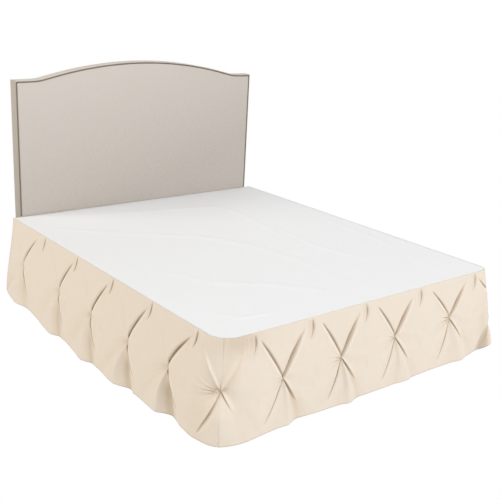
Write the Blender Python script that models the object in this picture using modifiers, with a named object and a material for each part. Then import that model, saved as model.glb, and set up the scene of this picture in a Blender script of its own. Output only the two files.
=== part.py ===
"""Pinch-pleated bed skirt over a box spring on a steel frame, with an upholstered headboard.

Sizes are in metres. The floor is z = 0, the head of the bed is at +Y and its foot at -Y, and
the origin is on the floor under the middle of the bed.

The skirt is a flat deck sheet and three hanging drops, sewn to the deck's edge. A place on a
drop is given by s, the distance along the seam from the head end of the left side round the
foot to the head end of the right side, and by its height z.
"""

import math
from typing import NamedTuple

import bmesh
import bpy
from mathutils import Matrix, Vector

# Bed and cloth
BED_WIDTH = 1.829
BED_LENGTH = 2.134
DECK_TOP = 0.457
FOOT_LEFT_RADIUS = 0.10
FOOT_RIGHT_RADIUS = 0.05
ARC_STEPS = 8
CLOTH = 0.002
HEM = 0.004
GAP = 0.0003
SEAM_STANDOFF = 0.0028
DECK_INSET = 0.0012
DROP_GAP = 0.0020
CLOTH_CLEARANCE = 0.004

# Folds of the drops: depths stand across the cloth, widths run along it
CREASE_END = 0.040
CREASE_START = 0.60
CREASE_TOP_FADE = 0.12
WALL_REACH = 1.8
PINCH_DIP = 0.012
PINCH_RADIUS = 0.030
PILLOW = 0.007
PILLOW_REACH = 0.12
YOKE_PUFF = 0.007
PUFF_TOP_FADE = 0.22
END_EASE = 0.12
HEM_RISE = 0.55
HEM_FAN = 0.10
HEM_COLUMN_EASE = 1.25
FLARE_EASE = 0.6
CONE_RISE = 0.007
CONE_FOOT = 0.040
CONE_FLANK = 0.050
CONE_CREST = 0.040
CONE_BACK = 0.060
CONE_START = 0.08
TUCK_LENGTH = 0.100
TUCK_RISE = 0.0055
TUCK_START = 0.2
TUCK_BOW = 0.006
TUCK_LEAN = 0.014
TUCK_DROP = 0.005
TUCK_SIDE = 0.020
TUCK_FRONT = 0.010
TUCK_BACK = 0.016
CORNER_FLARE = 0.058
CORNER_FLARE_WIDTH = 0.045
NARROWEST_COLUMN = 0.004

# Box spring and frame
BOX_HEIGHT = 0.2286
BOX_EDGE = 0.010
RAIL_X = 0.805
RAIL_FLANGE = 0.040
RAIL_STEEL = 0.003
RAIL_FOOT_Y = -0.98
RAIL_HEAD_Y = 1.02
CROSS_DEPTH = 0.020
CROSS_WIDTH = 0.030
CROSS_Y = (-0.95, -0.32, 0.32, 0.95)
CENTRE_WIDTH = 0.036
CENTRE_DEPTH = 0.030
LEG_Y = (-0.85, 0.0, 0.85)
LEG_RADIUS = 0.016
LEG_STEPS = 16
FOOT_RADIUS = 0.030
FOOT_HEIGHT = 0.012
FOOT_SLOPE = 0.006

# Headboard
BOARD_WIDTH = 1.745
BOARD_THICKNESS = 0.072
BOARD_BOTTOM = 0.30
SHOULDER_Z = 1.280
CROWN_Z = 1.380
ARCH_HALF_WIDTH = 0.72
ARCH_EASE = 0.10
BOARD_TOP_STEPS = 32
SLOPE_STEP = 0.001
BOARD_EDGE = 0.004
NAIL_INSET = 0.005
NAIL_WIDTH = 0.009
NAIL_RISE = 0.0025
NAIL_BOTTOM = 0.462
POST_X = 0.81
POST_WIDTH = 0.070
POST_THICKNESS = 0.022
POST_TOP = 0.85
BRACKET_HEIGHT = 0.080
BRACKET_LAP = 0.120

BOX_TOP = DECK_TOP - CLOTH - GAP
BOX_BOTTOM = BOX_TOP - BOX_HEIGHT
RAIL_TOP = BOX_BOTTOM - GAP
BOARD_FRONT = BED_LENGTH / 2 + GAP
BOARD_BACK = BOARD_FRONT + BOARD_THICKNESS


class Pleat(NamedTuple):
    """One pinched pleat of the drops, with the arms of its four creases."""

    tuck: float         # s of the tuck at the seam, before the pinch
    pinch: float        # s of the pinch
    height: float       # of the pinch above the floor
    left_arm: float     # how far the upper left crease runs sideways to its end
    right_arm: float    # and the upper right crease
    bow: float          # how much the upper creases curve, 1 is straight
    left_tail: float    # how far the lower left crease runs sideways to its end
    left_reach: float   # where it ends, as a share of the way to the hem
    right_tail: float   # and the lower right crease
    right_reach: float
    upper_left: float   # depth of each crease, 1 is full and below 0 is a ridge
    upper_right: float
    lower_left: float
    lower_right: float
    dip: float          # depth of the pinch, 1 is full


class Crease(NamedTuple):
    """The cross-section of one of the four creases that meet in each pinch."""

    depth: float        # how deep it cuts
    inner_wall: float   # width of the wall towards the pinch line
    outer_wall: float   # width of the wall towards the tuck
    peak: float         # where it is deepest, as a share of its run from the pinch
    ending: float       # how soon it fades past there, 1 is evenly


UPPER_LEFT = Crease(depth=0.015, inner_wall=0.009, outer_wall=0.005, peak=0.65, ending=0.35)
UPPER_RIGHT = Crease(depth=0.018, inner_wall=0.014, outer_wall=0.006, peak=0.50, ending=0.60)
LOWER_LEFT = Crease(depth=0.019, inner_wall=0.014, outer_wall=0.005, peak=0.60, ending=0.45)
LOWER_RIGHT = Crease(depth=0.013, inner_wall=0.010, outer_wall=0.005, peak=0.20, ending=0.80)

PLEATS = (
    # tuck, pinch, height, arms l r, bow, tail l, reach, tail r, reach, depths ul ur ll lr, dip
    Pleat(0.000, 0.210, 0.215, 0.126, 0.149, 1.30, 0.040, 0.80, 0.165, 0.80, 0.12, 1.10, 0, 1.00, 1.3),
    Pleat(0.456, 0.710, 0.217, 0.160, 0.112, 1.35, 0.035, 0.85, 0.165, 0.80, 0.12, 1.15, 0, 1.10, 1.3),
    Pleat(0.850, 1.090, 0.211, 0.160, 0.112, 1.40, 0.030, 0.80, 0.165, 0.80, 0.12, 1.15, 0, 1.10, 1.3),
    Pleat(1.235, 1.460, 0.202, 0.150, 0.115, 1.40, 0.035, 0.85, 0.150, 0.80, 0.12, 1.15, 0, 1.10, 1.3),
    Pleat(1.600, 1.800, 0.210, 0.130, 0.145, 1.40, 0.040, 0.85, 0.145, 0.80, 0.12, 1.15, 0, 1.10, 1.2),
    Pleat(1.970, 2.118, 0.228, 0.085, 0.085, 1.10, 0.055, 0.88, 0.035, 0.40, -.70, -.90, .60, .80, 0.8),
    Pleat(2.269, 2.416, 0.217, 0.118, 0.140, 1.10, 0.135, 0.82, 0.070, 0.60, 1.00, 1.00, 1.00, .90, 1.0),
    Pleat(2.603, 2.784, 0.222, 0.120, 0.124, 1.10, 0.110, 0.80, 0.078, 0.58, 1.00, 1.00, 1.00, .90, 1.0),
    Pleat(2.955, 3.160, 0.238, 0.125, 0.128, 1.12, 0.115, 0.82, 0.085, 0.58, 1.00, 1.00, 1.00, .90, 1.0),
    Pleat(3.351, 3.593, 0.244, 0.150, 0.125, 1.10, 0.115, 0.82, 0.095, 0.58, 1.00, 1.00, 1.00, .90, 1.0),
    Pleat(3.795, 3.980, 0.240, 0.150, 0.100, 1.10, 0.110, 0.95, 0.060, 0.50, 1.00, 0.80, 1.00, .60, 0.9),
    Pleat(4.165, 4.352, 0.218, 0.115, 0.130, 1.20, 0.110, 0.80, 0.078, 0.58, 1.00, 1.00, 0.95, .90, 1.0),
    Pleat(4.540, 4.719, 0.212, 0.120, 0.115, 1.20, 0.105, 0.78, 0.084, 0.60, 1.05, 1.00, 1.00, .90, 1.1),
    Pleat(4.912, 5.098, 0.224, 0.110, 0.130, 1.15, 0.115, 0.82, 0.078, 0.55, 0.95, 1.05, 0.90, .85, 1.0),
    Pleat(5.284, 5.467, 0.209, 0.115, 0.120, 1.20, 0.110, 0.80, 0.085, 0.60, 1.00, 1.00, 1.00, .95, 1.1),
    Pleat(5.655, 5.846, 0.219, 0.120, 0.110, 1.15, 0.105, 0.80, 0.072, 0.55, 0.95, 0.95, 0.90, .85, 1.0),
)

# The hem's line on the floor: how far outside the seam it stands at places along the seam
HEM_LINE = (
    (0.000, 0.060), (0.070, 0.080), (0.143, 0.092), (0.217, 0.104), (0.262, 0.104),
    (0.312, 0.088), (0.345, 0.082), (0.385, 0.083), (0.450, 0.090), (0.544, 0.100),
    (0.630, 0.114), (0.720, 0.126), (0.762, 0.127), (0.785, 0.117), (0.812, 0.099),
    (0.848, 0.097), (0.930, 0.105), (1.037, 0.121), (1.086, 0.130), (1.138, 0.137),
    (1.172, 0.122), (1.201, 0.104), (1.235, 0.104), (1.312, 0.112), (1.400, 0.124),
    (1.456, 0.125), (1.491, 0.111), (1.533, 0.086), (1.552, 0.082), (1.600, 0.090),
    (1.700, 0.097), (1.775, 0.101), (1.803, 0.099), (1.830, 0.073), (1.858, 0.058),
    (1.876, 0.054), (1.915, 0.062), (1.960, 0.075), (2.036, 0.083), (2.075, 0.091),
    (2.098, 0.106), (2.121, 0.114), (2.145, 0.104), (2.178, 0.095), (2.262, 0.088),
    (2.350, 0.082), (2.400, 0.084), (2.422, 0.087), (2.447, 0.077), (2.478, 0.064),
    (2.500, 0.061), (2.560, 0.068), (2.640, 0.074), (2.740, 0.078), (2.768, 0.082),
    (2.792, 0.092), (2.814, 0.093), (2.847, 0.079), (2.880, 0.070), (2.950, 0.073),
    (3.050, 0.075), (3.148, 0.075), (3.168, 0.081), (3.232, 0.085), (3.266, 0.073),
    (3.290, 0.071), (3.360, 0.071), (3.415, 0.069), (3.510, 0.072), (3.588, 0.073),
    (3.640, 0.084), (3.670, 0.086), (3.713, 0.072), (3.755, 0.062), (3.800, 0.054),
    (3.850, 0.046), (3.885, 0.048), (3.912, 0.062), (3.935, 0.076), (3.960, 0.088),
    (3.985, 0.084), (4.030, 0.070), (4.100, 0.066),
    (4.250, 0.084), (4.352, 0.092), (4.400, 0.098), (4.440, 0.078), (4.560, 0.084),
    (4.719, 0.104), (4.775, 0.112), (4.820, 0.086), (4.950, 0.092), (5.090, 0.102),
    (5.150, 0.107), (5.195, 0.086), (5.320, 0.092), (5.460, 0.112), (5.530, 0.118),
    (5.575, 0.092), (5.700, 0.088), (5.840, 0.086), (5.900, 0.088), (5.950, 0.074),
    (6.060, 0.060),
)

# Columns of the drops' mesh on each side of a pinch: 0 is the pinch line, 1 to 3 follow the
# crease, 6 is the tuck and 7 its back. The pleats at the foot's round corners have more.
LAST_COLUMN = 6
TUCK_BACK_COLUMN = 7
BESIDE_COLUMN = 5
COLUMNS = (0, 0.5, 1, 2, 3, 4, 5)
CORNER_COLUMNS = (0, 0.17, 0.34, 0.5, 0.67, 0.84, 1, 2, 3, 4, 5)
LEFT_CORNER_PLEAT = 5
RIGHT_CORNER_PLEAT = 10
CORNER_SIDES = ((LEFT_CORNER_PLEAT, -1), (LEFT_CORNER_PLEAT, 1), (RIGHT_CORNER_PLEAT, -1))
ROWS_ABOVE_PINCH = (1.0, 0.93, 0.82, 0.68, 0.53, 0.38, 0.24, 0.11, 0.03)
ROWS_BELOW_PINCH = (0.05, 0.18, 0.36, 0.56, 0.78, 1.0)


def smooth(t):
    """Ease from 0 to 1 as t goes from 0 to 1."""
    t = min(1.0, max(0.0, t))
    return t * t * (3 - 2 * t)


def mix(low, high, t):
    return low + (high - low) * t


def interpolate(t, stops):
    """Read a rising list of (place, value) stops at t, with straight runs between them."""
    for (t0, v0), (t1, v1) in zip(stops, stops[1:]):
        if t <= t1:
            return mix(v0, v1, max(0.0, (t - t0) / (t1 - t0)))
    return stops[-1][1]


# ---- the seam's outline ---------------------------------------------------------------------

LEFT_RUN = BED_LENGTH - FOOT_LEFT_RADIUS
LEFT_ARC = math.pi / 2 * FOOT_LEFT_RADIUS
FOOT_RUN = BED_WIDTH - FOOT_LEFT_RADIUS - FOOT_RIGHT_RADIUS
RIGHT_ARC = math.pi / 2 * FOOT_RIGHT_RADIUS
RIGHT_RUN = BED_LENGTH - FOOT_RIGHT_RADIUS
SEAM_LENGTH = LEFT_RUN + LEFT_ARC + FOOT_RUN + RIGHT_ARC + RIGHT_RUN
RIGHT_CORNER = LEFT_RUN + LEFT_ARC + FOOT_RUN + RIGHT_ARC
PINCHES = [pleat.pinch for pleat in PLEATS]
MIDDLES = [0.0] + [(a + b) / 2 for a, b in zip(PINCHES, PINCHES[1:])] + [SEAM_LENGTH]


def seam_point(s):
    """Return the seam's place at s and its outward direction, both as flat vectors."""
    half_width, half_length = BED_WIDTH / 2, BED_LENGTH / 2
    if s <= LEFT_RUN:
        return Vector((-half_width, half_length - s)), Vector((-1.0, 0.0))
    s -= LEFT_RUN
    if s <= LEFT_ARC:
        angle = s / FOOT_LEFT_RADIUS
        out = Vector((-math.cos(angle), -math.sin(angle)))
        centre = Vector((FOOT_LEFT_RADIUS - half_width, FOOT_LEFT_RADIUS - half_length))
        return centre + FOOT_LEFT_RADIUS * out, out
    s -= LEFT_ARC
    if s <= FOOT_RUN:
        return Vector((FOOT_LEFT_RADIUS - half_width + s, -half_length)), Vector((0.0, -1.0))
    s -= FOOT_RUN
    if s <= RIGHT_ARC:
        angle = s / FOOT_RIGHT_RADIUS
        out = Vector((math.sin(angle), -math.cos(angle)))
        centre = Vector((half_width - FOOT_RIGHT_RADIUS, FOOT_RIGHT_RADIUS - half_length))
        return centre + FOOT_RIGHT_RADIUS * out, out
    s -= RIGHT_ARC
    return Vector((half_width, FOOT_RIGHT_RADIUS - half_length + s)), Vector((1.0, 0.0))


# ---- the folds ------------------------------------------------------------------------------

def pleat_at(s):
    """Return the number of the pleat whose tucks stand on either side of s."""
    number = 0
    while number + 1 < len(PLEATS) and s >= PLEATS[number + 1].tuck:
        number += 1
    return number


def next_tuck(number):
    return PLEATS[number + 1].tuck if number + 1 < len(PLEATS) else SEAM_LENGTH


def between_pinches(s, value):
    """Read a value of the pleats at s, with straight runs from each pinch to the next."""
    return interpolate(s, [(pleat.pinch, value(pleat)) for pleat in PLEATS])


def hem_line(s):
    """Return how far outside the seam the hem stands on the floor at s."""
    return interpolate(s, HEM_LINE)


def hem_flare(s):
    """Return how far outside the seam the hem stands at s, without the cones below the pinches."""
    return interpolate(s, [(middle, hem_line(middle)) for middle in MIDDLES])


def crease_at(pleat, side, z):
    """Return the crease that passes height z on side -1 or 1 of a pinch."""
    if z >= pleat.height:
        return UPPER_LEFT if side < 0 else UPPER_RIGHT
    return LOWER_LEFT if side < 0 else LOWER_RIGHT


def arm_place(pleat, side, z):
    """Return how far from the pinch line a crease runs at height z, on side -1 or 1."""
    if z >= pleat.height:
        arm = pleat.left_arm if side < 0 else pleat.right_arm
        rise = (z - pleat.height) / (DECK_TOP - CREASE_END - pleat.height)
        return arm * (rise ** pleat.bow if rise < 1 else mix(1.0, rise, pleat.bow))
    tail, reach = tail_of(pleat, side)
    return tail / reach * (pleat.height - z) / (pleat.height - HEM)


def tail_of(pleat, side):
    """Return how far sideways a lower crease runs, and its reach."""
    if side < 0:
        return pleat.left_tail, pleat.left_reach
    return pleat.right_tail, pleat.right_reach


def arm_depth(pleat, side, z):
    """Return the depth of the crease that passes height z, as a share of its full depth."""
    if z >= pleat.height:
        return pleat.upper_left if side < 0 else pleat.upper_right
    return pleat.lower_left if side < 0 else pleat.lower_right


def arm_strength(pleat, side, z):
    """Return how deep a crease is at height z, as a share of its full depth."""
    crease = crease_at(pleat, side, z)
    if z >= pleat.height:
        along = (z - pleat.height) / (DECK_TOP - CREASE_END - pleat.height)
    else:
        along = (pleat.height - z) / (pleat.height - HEM) / tail_of(pleat, side)[1]
    if along >= 1:
        return 0.0
    start = mix(CREASE_START, 1.0, smooth(along / crease.peak))
    fade = min(1.0, (1 - along) / (1 - crease.peak)) ** crease.ending
    return arm_depth(pleat, side, z) * start * fade


def crease_cut(pleat, side, x, z):
    """Return how deep the creases of one side of a pleat cut, x from its pinch line."""
    strength = arm_strength(pleat, side, z)
    if strength == 0:
        return 0.0
    crease = crease_at(pleat, side, z)
    beyond = side * x - arm_place(pleat, side, z)
    width = crease.outer_wall if beyond > 0 else crease.inner_wall
    return crease.depth * strength * math.exp(-abs(beyond) / width)


def fall_below(pleat, z):
    """Return how far height z lies from a pinch to the hem, from 0 to 1."""
    return min(1.0, max(0.0, (pleat.height - z) / (pleat.height - HEM)))


def hem_wave(number, s, z):
    """Return how far the cones that fan out from the pinches to the hem move the cloth outwards."""
    pleat = PLEATS[number]
    spread = mix(HEM_FAN, 1.0, fall_below(pleat, z))
    place = pleat.pinch + (s - pleat.pinch) / spread
    place = min(MIDDLES[number + 1], max(MIDDLES[number], place))
    return hem_line(place) - hem_flare(place)


def cone(number, s, z):
    """Return the rise of the rounded fold that stands below a pinch."""
    fall = fall_below(PLEATS[number], z)
    toward = -1 if number < LEFT_CORNER_PLEAT else 1
    across = toward * (s - PLEATS[number].pinch) / (fall + CONE_START)
    crest = smooth((across + CONE_FOOT) / CONE_FLANK)
    crest *= 1 - smooth((across - CONE_CREST) / CONE_BACK)
    size = 0.3 if number == LEFT_CORNER_PLEAT else 1.0
    return size * CONE_RISE * crest * max(0.0, math.sin(math.pi * fall ** 0.8)) ** 0.7


def tuck_line(tuck, z):
    """Return where the tuck that starts at s = tuck runs at height z."""
    along = min(1.0, (DECK_TOP - z) / TUCK_LENGTH)
    return tuck + TUCK_BOW * math.sin(math.pi * along) - TUCK_LEAN * along ** 2


def tuck_fold(s, z):
    """Return the fold of the nearest tuck: it rises to a lip and drops to a shadowed gap."""
    fold = 0.0
    along = (DECK_TOP - z) / TUCK_LENGTH
    if along >= 1:
        return fold
    strength = TUCK_RISE * mix(TUCK_START, 1.0, smooth(along / 0.3)) * (1 - along) ** 0.6
    for pleat in PLEATS[1:]:
        beyond = s - tuck_line(pleat.tuck, z)
        if beyond <= 0:
            fold += strength * math.exp(beyond / TUCK_FRONT)
        else:
            lip = max(0.0, 1 - beyond / TUCK_DROP)
            fold += strength * (lip - 0.5 * (1 - lip) * math.exp(-beyond / TUCK_BACK))
    return fold


def drape(s, z):
    """Return how far the cloth's outer face stands outside the seam at s, at height z."""
    number = pleat_at(s)
    pleat = PLEATS[number]
    x = s - pleat.pinch
    side = -1 if x < 0 else 1
    half = pleat.pinch - pleat.tuck if x < 0 else next_tuck(number) - pleat.pinch
    away = min(1.0, abs(x) / half)
    fall = (DECK_TOP - z) / (DECK_TOP - HEM)
    pinch_height = between_pinches(s, lambda row: row.height)
    below = smooth((pinch_height - z) / (HEM_RISE * (pinch_height - HEM)))
    yoke = min(1.0, max(0.0, (z - pinch_height) / (DECK_TOP - pinch_height)))
    corner = math.exp(-((s - RIGHT_CORNER) / CORNER_FLARE_WIDTH) ** 2)
    out = (hem_flare(s) + CORNER_FLARE * corner) * mix(fall, smooth(fall), FLARE_EASE)
    out += hem_wave(number, s, z) * below + cone(number, s, z)
    inside = smooth(s / END_EASE) * smooth((SEAM_LENGTH - s) / END_EASE)
    out += YOKE_PUFF * math.sin(math.pi * yoke) ** 0.8 * inside
    pillow = math.exp(-((z - pinch_height) / PILLOW_REACH) ** 2) * inside
    out += PILLOW * math.sin(math.pi / 2 * away) ** 2 * pillow * smooth(fall / PUFF_TOP_FADE)
    out -= crease_cut(pleat, side, x, z) * (1 - away ** 4) * smooth(fall / CREASE_TOP_FADE)
    distance = math.hypot(x, z - pleat.height) / PINCH_RADIUS
    out -= PINCH_DIP * pleat.dip * math.exp(-distance ** 1.3)
    out += tuck_fold(s, z)
    return max(SEAM_STANDOFF, SEAM_STANDOFF + out)


def column_place(pleat, side, half, column, z):
    """Return a mesh column's distance from the pinch line at height z.

    Column 0 is the pinch line, the next three follow the crease and the last is the tuck. Past
    the crease's end the columns spread out towards the hem.
    """
    crease = min(max(arm_place(pleat, side, z), 2 * NARROWEST_COLUMN), half - 2 * TUCK_SIDE)
    walls = crease_at(pleat, side, z)
    inner = max(NARROWEST_COLUMN, crease - WALL_REACH * walls.inner_wall)
    outer = min(crease + WALL_REACH * walls.outer_wall, mix(crease, half, 0.4))
    beside = half - TUCK_SIDE
    places = (0.0, inner, crease, outer, mix(outer, beside, 0.45), beside, half)
    place = interpolate(column, list(enumerate(places)))
    if z >= pleat.height or column >= BESIDE_COLUMN:
        return place
    end = tail_of(pleat, side)[1] if arm_depth(pleat, side, z) else 0.0
    spread = beside * (column / BESIDE_COLUMN) ** HEM_COLUMN_EASE
    return mix(place, spread, smooth((fall_below(pleat, z) - end) / (1 - end)))


# ---- objects --------------------------------------------------------------------------------

def clear_scene():
    for item in list(bpy.data.objects):
        bpy.data.objects.remove(item, do_unlink=True)


def make_material(name, colour, roughness, metallic=0.0):
    material = bpy.data.materials.new(name)
    material.use_nodes = True
    shader = material.node_tree.nodes["Principled BSDF"]
    shader.inputs["Base Color"].default_value = (*colour, 1.0)
    shader.inputs["Roughness"].default_value = roughness
    shader.inputs["Metallic"].default_value = metallic
    return material


def add_object(name, mesh, collection, material):
    body = bpy.data.objects.new(name, mesh)
    mesh.materials.append(material)
    collection.objects.link(body)
    return body


def drop_columns(start, end):
    """List the mesh columns between two places on the seam, as (pleat number, side, column)."""
    columns = []
    for number, pleat in enumerate(PLEATS):
        if start < pleat.pinch <= end:
            steps = CORNER_COLUMNS if (number, -1) in CORNER_SIDES else COLUMNS
            columns.append((number, -1, LAST_COLUMN))
            if number > 0:
                columns.append((number, -1, TUCK_BACK_COLUMN))
            columns += [(number, -1, column) for column in reversed(steps[1:])]
        if start <= pleat.pinch < end:
            steps = CORNER_COLUMNS if (number, 1) in CORNER_SIDES else COLUMNS
            columns += [(number, 1, column) for column in steps]
        if pleat.pinch == end:
            columns.append((number, 1, 0))
    if end == SEAM_LENGTH:
        columns.append((len(PLEATS) - 1, 1, LAST_COLUMN))
    return columns


def column_seam_place(column, z):
    """Return s for a mesh column at height z."""
    number, side, place = column
    pleat = PLEATS[number]
    half = pleat.pinch - pleat.tuck if side < 0 else next_tuck(number) - pleat.pinch
    if place == TUCK_BACK_COLUMN:
        return tuck_line(pleat.tuck, z) + TUCK_DROP
    if place == LAST_COLUMN and side < 0 < number:
        return tuck_line(pleat.tuck, z)
    return pleat.pinch + side * column_place(pleat, side, half, place, z)


def row_height(pleat_height, row):
    """Return the height of a mesh row where the pinches stand at pleat_height."""
    if row < len(ROWS_ABOVE_PINCH):
        return mix(pleat_height, DECK_TOP, ROWS_ABOVE_PINCH[row])
    return mix(pleat_height, HEM, ROWS_BELOW_PINCH[row - len(ROWS_ABOVE_PINCH)])


def make_drop(name, start, end, collection, material):
    """Hang one drop of the skirt: a grid whose columns follow the creases, then its thickness."""
    columns = drop_columns(start, end)
    rows = len(ROWS_ABOVE_PINCH) + len(ROWS_BELOW_PINCH)
    grid = bmesh.new()
    bmesh.ops.create_grid(grid, x_segments=len(columns) - 1, y_segments=rows - 1, size=0.5)
    for vertex in grid.verts:
        column = columns[round((vertex.co.x + 0.5) * (len(columns) - 1))]
        row = round((0.5 - vertex.co.y) * (rows - 1))
        height = PLEATS[column[0]].height
        z = row_height(height, row)
        s = column_seam_place(column, z)
        z = row_height(between_pinches(s, lambda pleat: pleat.height), row)
        s = min(max(s, start + DROP_GAP / 2), end - DROP_GAP / 2)
        point, outward = seam_point(s)
        flat = point + outward * drape(s, z)
        vertex.co = (flat.x, flat.y, z)
    bmesh.ops.recalc_face_normals(grid, faces=grid.faces)
    mesh = bpy.data.meshes.new(name)
    grid.to_mesh(mesh)
    grid.free()
    drop = add_object(name, mesh, collection, material)
    thickness = drop.modifiers.new("thickness", "SOLIDIFY")
    thickness.thickness = CLOTH
    thickness.offset = -1.0
    mesh.shade_smooth()
    return drop


def seam_outline(inset):
    """Return the deck's outline, drawn in by inset."""
    stops = [0.0, LEFT_RUN]
    stops += [LEFT_RUN + LEFT_ARC * step / ARC_STEPS for step in range(1, ARC_STEPS + 1)]
    foot_end = LEFT_RUN + LEFT_ARC + FOOT_RUN
    stops += [foot_end + RIGHT_ARC * step / ARC_STEPS for step in range(ARC_STEPS + 1)]
    stops.append(SEAM_LENGTH)
    outline = []
    for s in stops:
        point, outward = seam_point(s)
        outline.append(point - outward * inset)
    outline[0].y -= inset
    outline[-1].y -= inset
    return outline


def make_prism(name, outline, depth, matrix, collection, material):
    """Extrude a flat outline by depth along its own +Z and place it by matrix."""
    solid = bmesh.new()
    face = solid.faces.new([solid.verts.new((x, y, 0.0)) for x, y in outline])
    face.normal_update()
    if face.normal.z > 0:
        face.normal_flip()
    sweep = bmesh.ops.extrude_face_region(solid, geom=[face])
    top = [item for item in sweep["geom"] if isinstance(item, bmesh.types.BMVert)]
    bmesh.ops.translate(solid, verts=top, vec=(0.0, 0.0, depth))
    bmesh.ops.transform(solid, matrix=matrix, verts=solid.verts)
    bmesh.ops.recalc_face_normals(solid, faces=solid.faces)
    mesh = bpy.data.meshes.new(name)
    solid.to_mesh(mesh)
    solid.free()
    return add_object(name, mesh, collection, material)


def make_box(name, low, high, collection, material):
    outline = ((low[0], low[1]), (high[0], low[1]), (high[0], high[1]), (low[0], high[1]))
    matrix = Matrix.Translation((0.0, 0.0, low[2]))
    return make_prism(name, outline, high[2] - low[2], matrix, collection, material)


def round_edges(body, width, segments):
    """Round the edges where faces meet at more than 50 degrees."""
    bevel = body.modifiers.new("rounded edges", "BEVEL")
    bevel.width = width
    bevel.segments = segments
    bevel.limit_method = "ANGLE"
    bevel.angle_limit = math.radians(50)
    return body


def make_skirt(collection, white, cream):
    """Sew the skirt: the flat deck and its left, foot and right drops."""
    matrix = Matrix.Translation((0.0, 0.0, DECK_TOP - CLOTH))
    make_prism("deck", seam_outline(DECK_INSET), CLOTH, matrix, collection, white)
    left_seam = PLEATS[LEFT_CORNER_PLEAT].pinch
    right_seam = PLEATS[RIGHT_CORNER_PLEAT].pinch
    make_drop("drop_left", 0.0, left_seam, collection, cream)
    make_drop("drop_foot", left_seam, right_seam, collection, cream)
    make_drop("drop_right", right_seam, SEAM_LENGTH, collection, cream)


def make_box_spring(collection, ticking):
    matrix = Matrix.Translation((0.0, 0.0, BOX_BOTTOM))
    outline = seam_outline(CLOTH_CLEARANCE)
    body = make_prism("box_spring", outline, BOX_HEIGHT, matrix, collection, ticking)
    return round_edges(body, BOX_EDGE, 2)


def make_leg(name, x, y, top, collection, material):
    """Turn one leg with its flat round foot."""
    profile = ((0.0, top), (LEG_RADIUS, top), (LEG_RADIUS, FOOT_HEIGHT + FOOT_SLOPE),
               (FOOT_RADIUS, FOOT_HEIGHT), (FOOT_RADIUS, 0.0), (0.0, 0.0))
    mesh = bpy.data.meshes.new(name)
    edges = [(index, index + 1) for index in range(len(profile) - 1)]
    mesh.from_pydata([(radius, 0.0, z) for radius, z in profile], edges, [])
    leg = add_object(name, mesh, collection, material)
    leg.location = (x, y, 0.0)
    turn = leg.modifiers.new("turned", "SCREW")
    turn.steps = turn.render_steps = LEG_STEPS
    turn.use_merge_vertices = True
    turn.merge_threshold = 0.0001
    return leg


def make_side_rail(name, side, collection, material):
    """Lay one angle-iron side rail: a flange under the box spring and one hanging outside."""
    outer = side * RAIL_X
    inner = side * (RAIL_X - RAIL_FLANGE)
    web = side * (RAIL_X - RAIL_STEEL)
    low, under = RAIL_TOP - RAIL_FLANGE, RAIL_TOP - RAIL_STEEL
    outline = ((outer, RAIL_TOP), (inner, RAIL_TOP), (inner, under), (web, under),
               (web, low), (outer, low))
    stand_up = Matrix.Translation((0.0, RAIL_HEAD_Y, 0.0)) @ Matrix.Rotation(math.pi / 2, 4, "X")
    make_prism(name, outline, RAIL_HEAD_Y - RAIL_FOOT_Y, stand_up, collection, material)


def make_bracket(name, side, collection, material):
    """Bend the plate that joins a side rail to a headboard post."""
    outer = side * (RAIL_X - RAIL_STEEL - GAP)
    inner = outer - side * RAIL_STEEL
    ear = outer - side * RAIL_FLANGE
    front, back = RAIL_HEAD_Y - BRACKET_LAP, BOARD_BACK
    outline = ((outer, front), (outer, back), (ear, back), (ear, back - RAIL_STEEL),
               (inner, back - RAIL_STEEL), (inner, front))
    top = RAIL_TOP - RAIL_STEEL - GAP
    matrix = Matrix.Translation((0.0, 0.0, top - BRACKET_HEIGHT))
    make_prism(name, outline, BRACKET_HEIGHT, matrix, collection, material)


def make_frame(collection, steel, rubber):
    """Build the steel frame: side rails, cross rails, a centre rail and nine legs."""
    inner = RAIL_X - RAIL_FLANGE - GAP
    under_flange = RAIL_TOP - RAIL_STEEL - GAP
    for side, word in ((-1, "left"), (1, "right")):
        make_side_rail(f"side_rail_{word}", side, collection, steel)
        make_bracket(f"bracket_{word}", side, collection, steel)
        for number, y in enumerate(LEG_Y, start=1):
            x = side * (RAIL_X - RAIL_FLANGE + LEG_RADIUS + GAP)
            make_leg(f"leg_{word}_{number}", x, y, under_flange, collection, rubber)
    for number, y in enumerate(CROSS_Y, start=1):
        low = (-inner, y - CROSS_WIDTH / 2, RAIL_TOP - CROSS_DEPTH)
        high = (inner, y + CROSS_WIDTH / 2, RAIL_TOP)
        make_box(f"cross_rail_{number}", low, high, collection, steel)
    centre_top = RAIL_TOP - CROSS_DEPTH - GAP
    low = (-CENTRE_WIDTH / 2, RAIL_FOOT_Y, centre_top - CENTRE_DEPTH)
    high = (CENTRE_WIDTH / 2, RAIL_HEAD_Y, centre_top)
    make_box("centre_rail", low, high, collection, steel)
    leg_top = centre_top - CENTRE_DEPTH - GAP
    for number, y in enumerate(LEG_Y, start=1):
        make_leg(f"leg_centre_{number}", 0.0, y, leg_top, collection, rubber)


def board_top(x):
    """Return the headboard's height at x: a shallow arch that eases into flat shoulders."""
    sagitta = CROWN_Z - SHOULDER_Z
    radius = (ARCH_HALF_WIDTH ** 2 + sagitta ** 2) / (2 * sagitta)
    arch = math.sqrt(radius ** 2 - x ** 2) - (radius - sagitta)
    ease = sagitta * ARCH_EASE
    return SHOULDER_Z + 0.5 * (arch + math.sqrt(arch ** 2 + ease ** 2)) - 0.25 * ease


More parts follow.
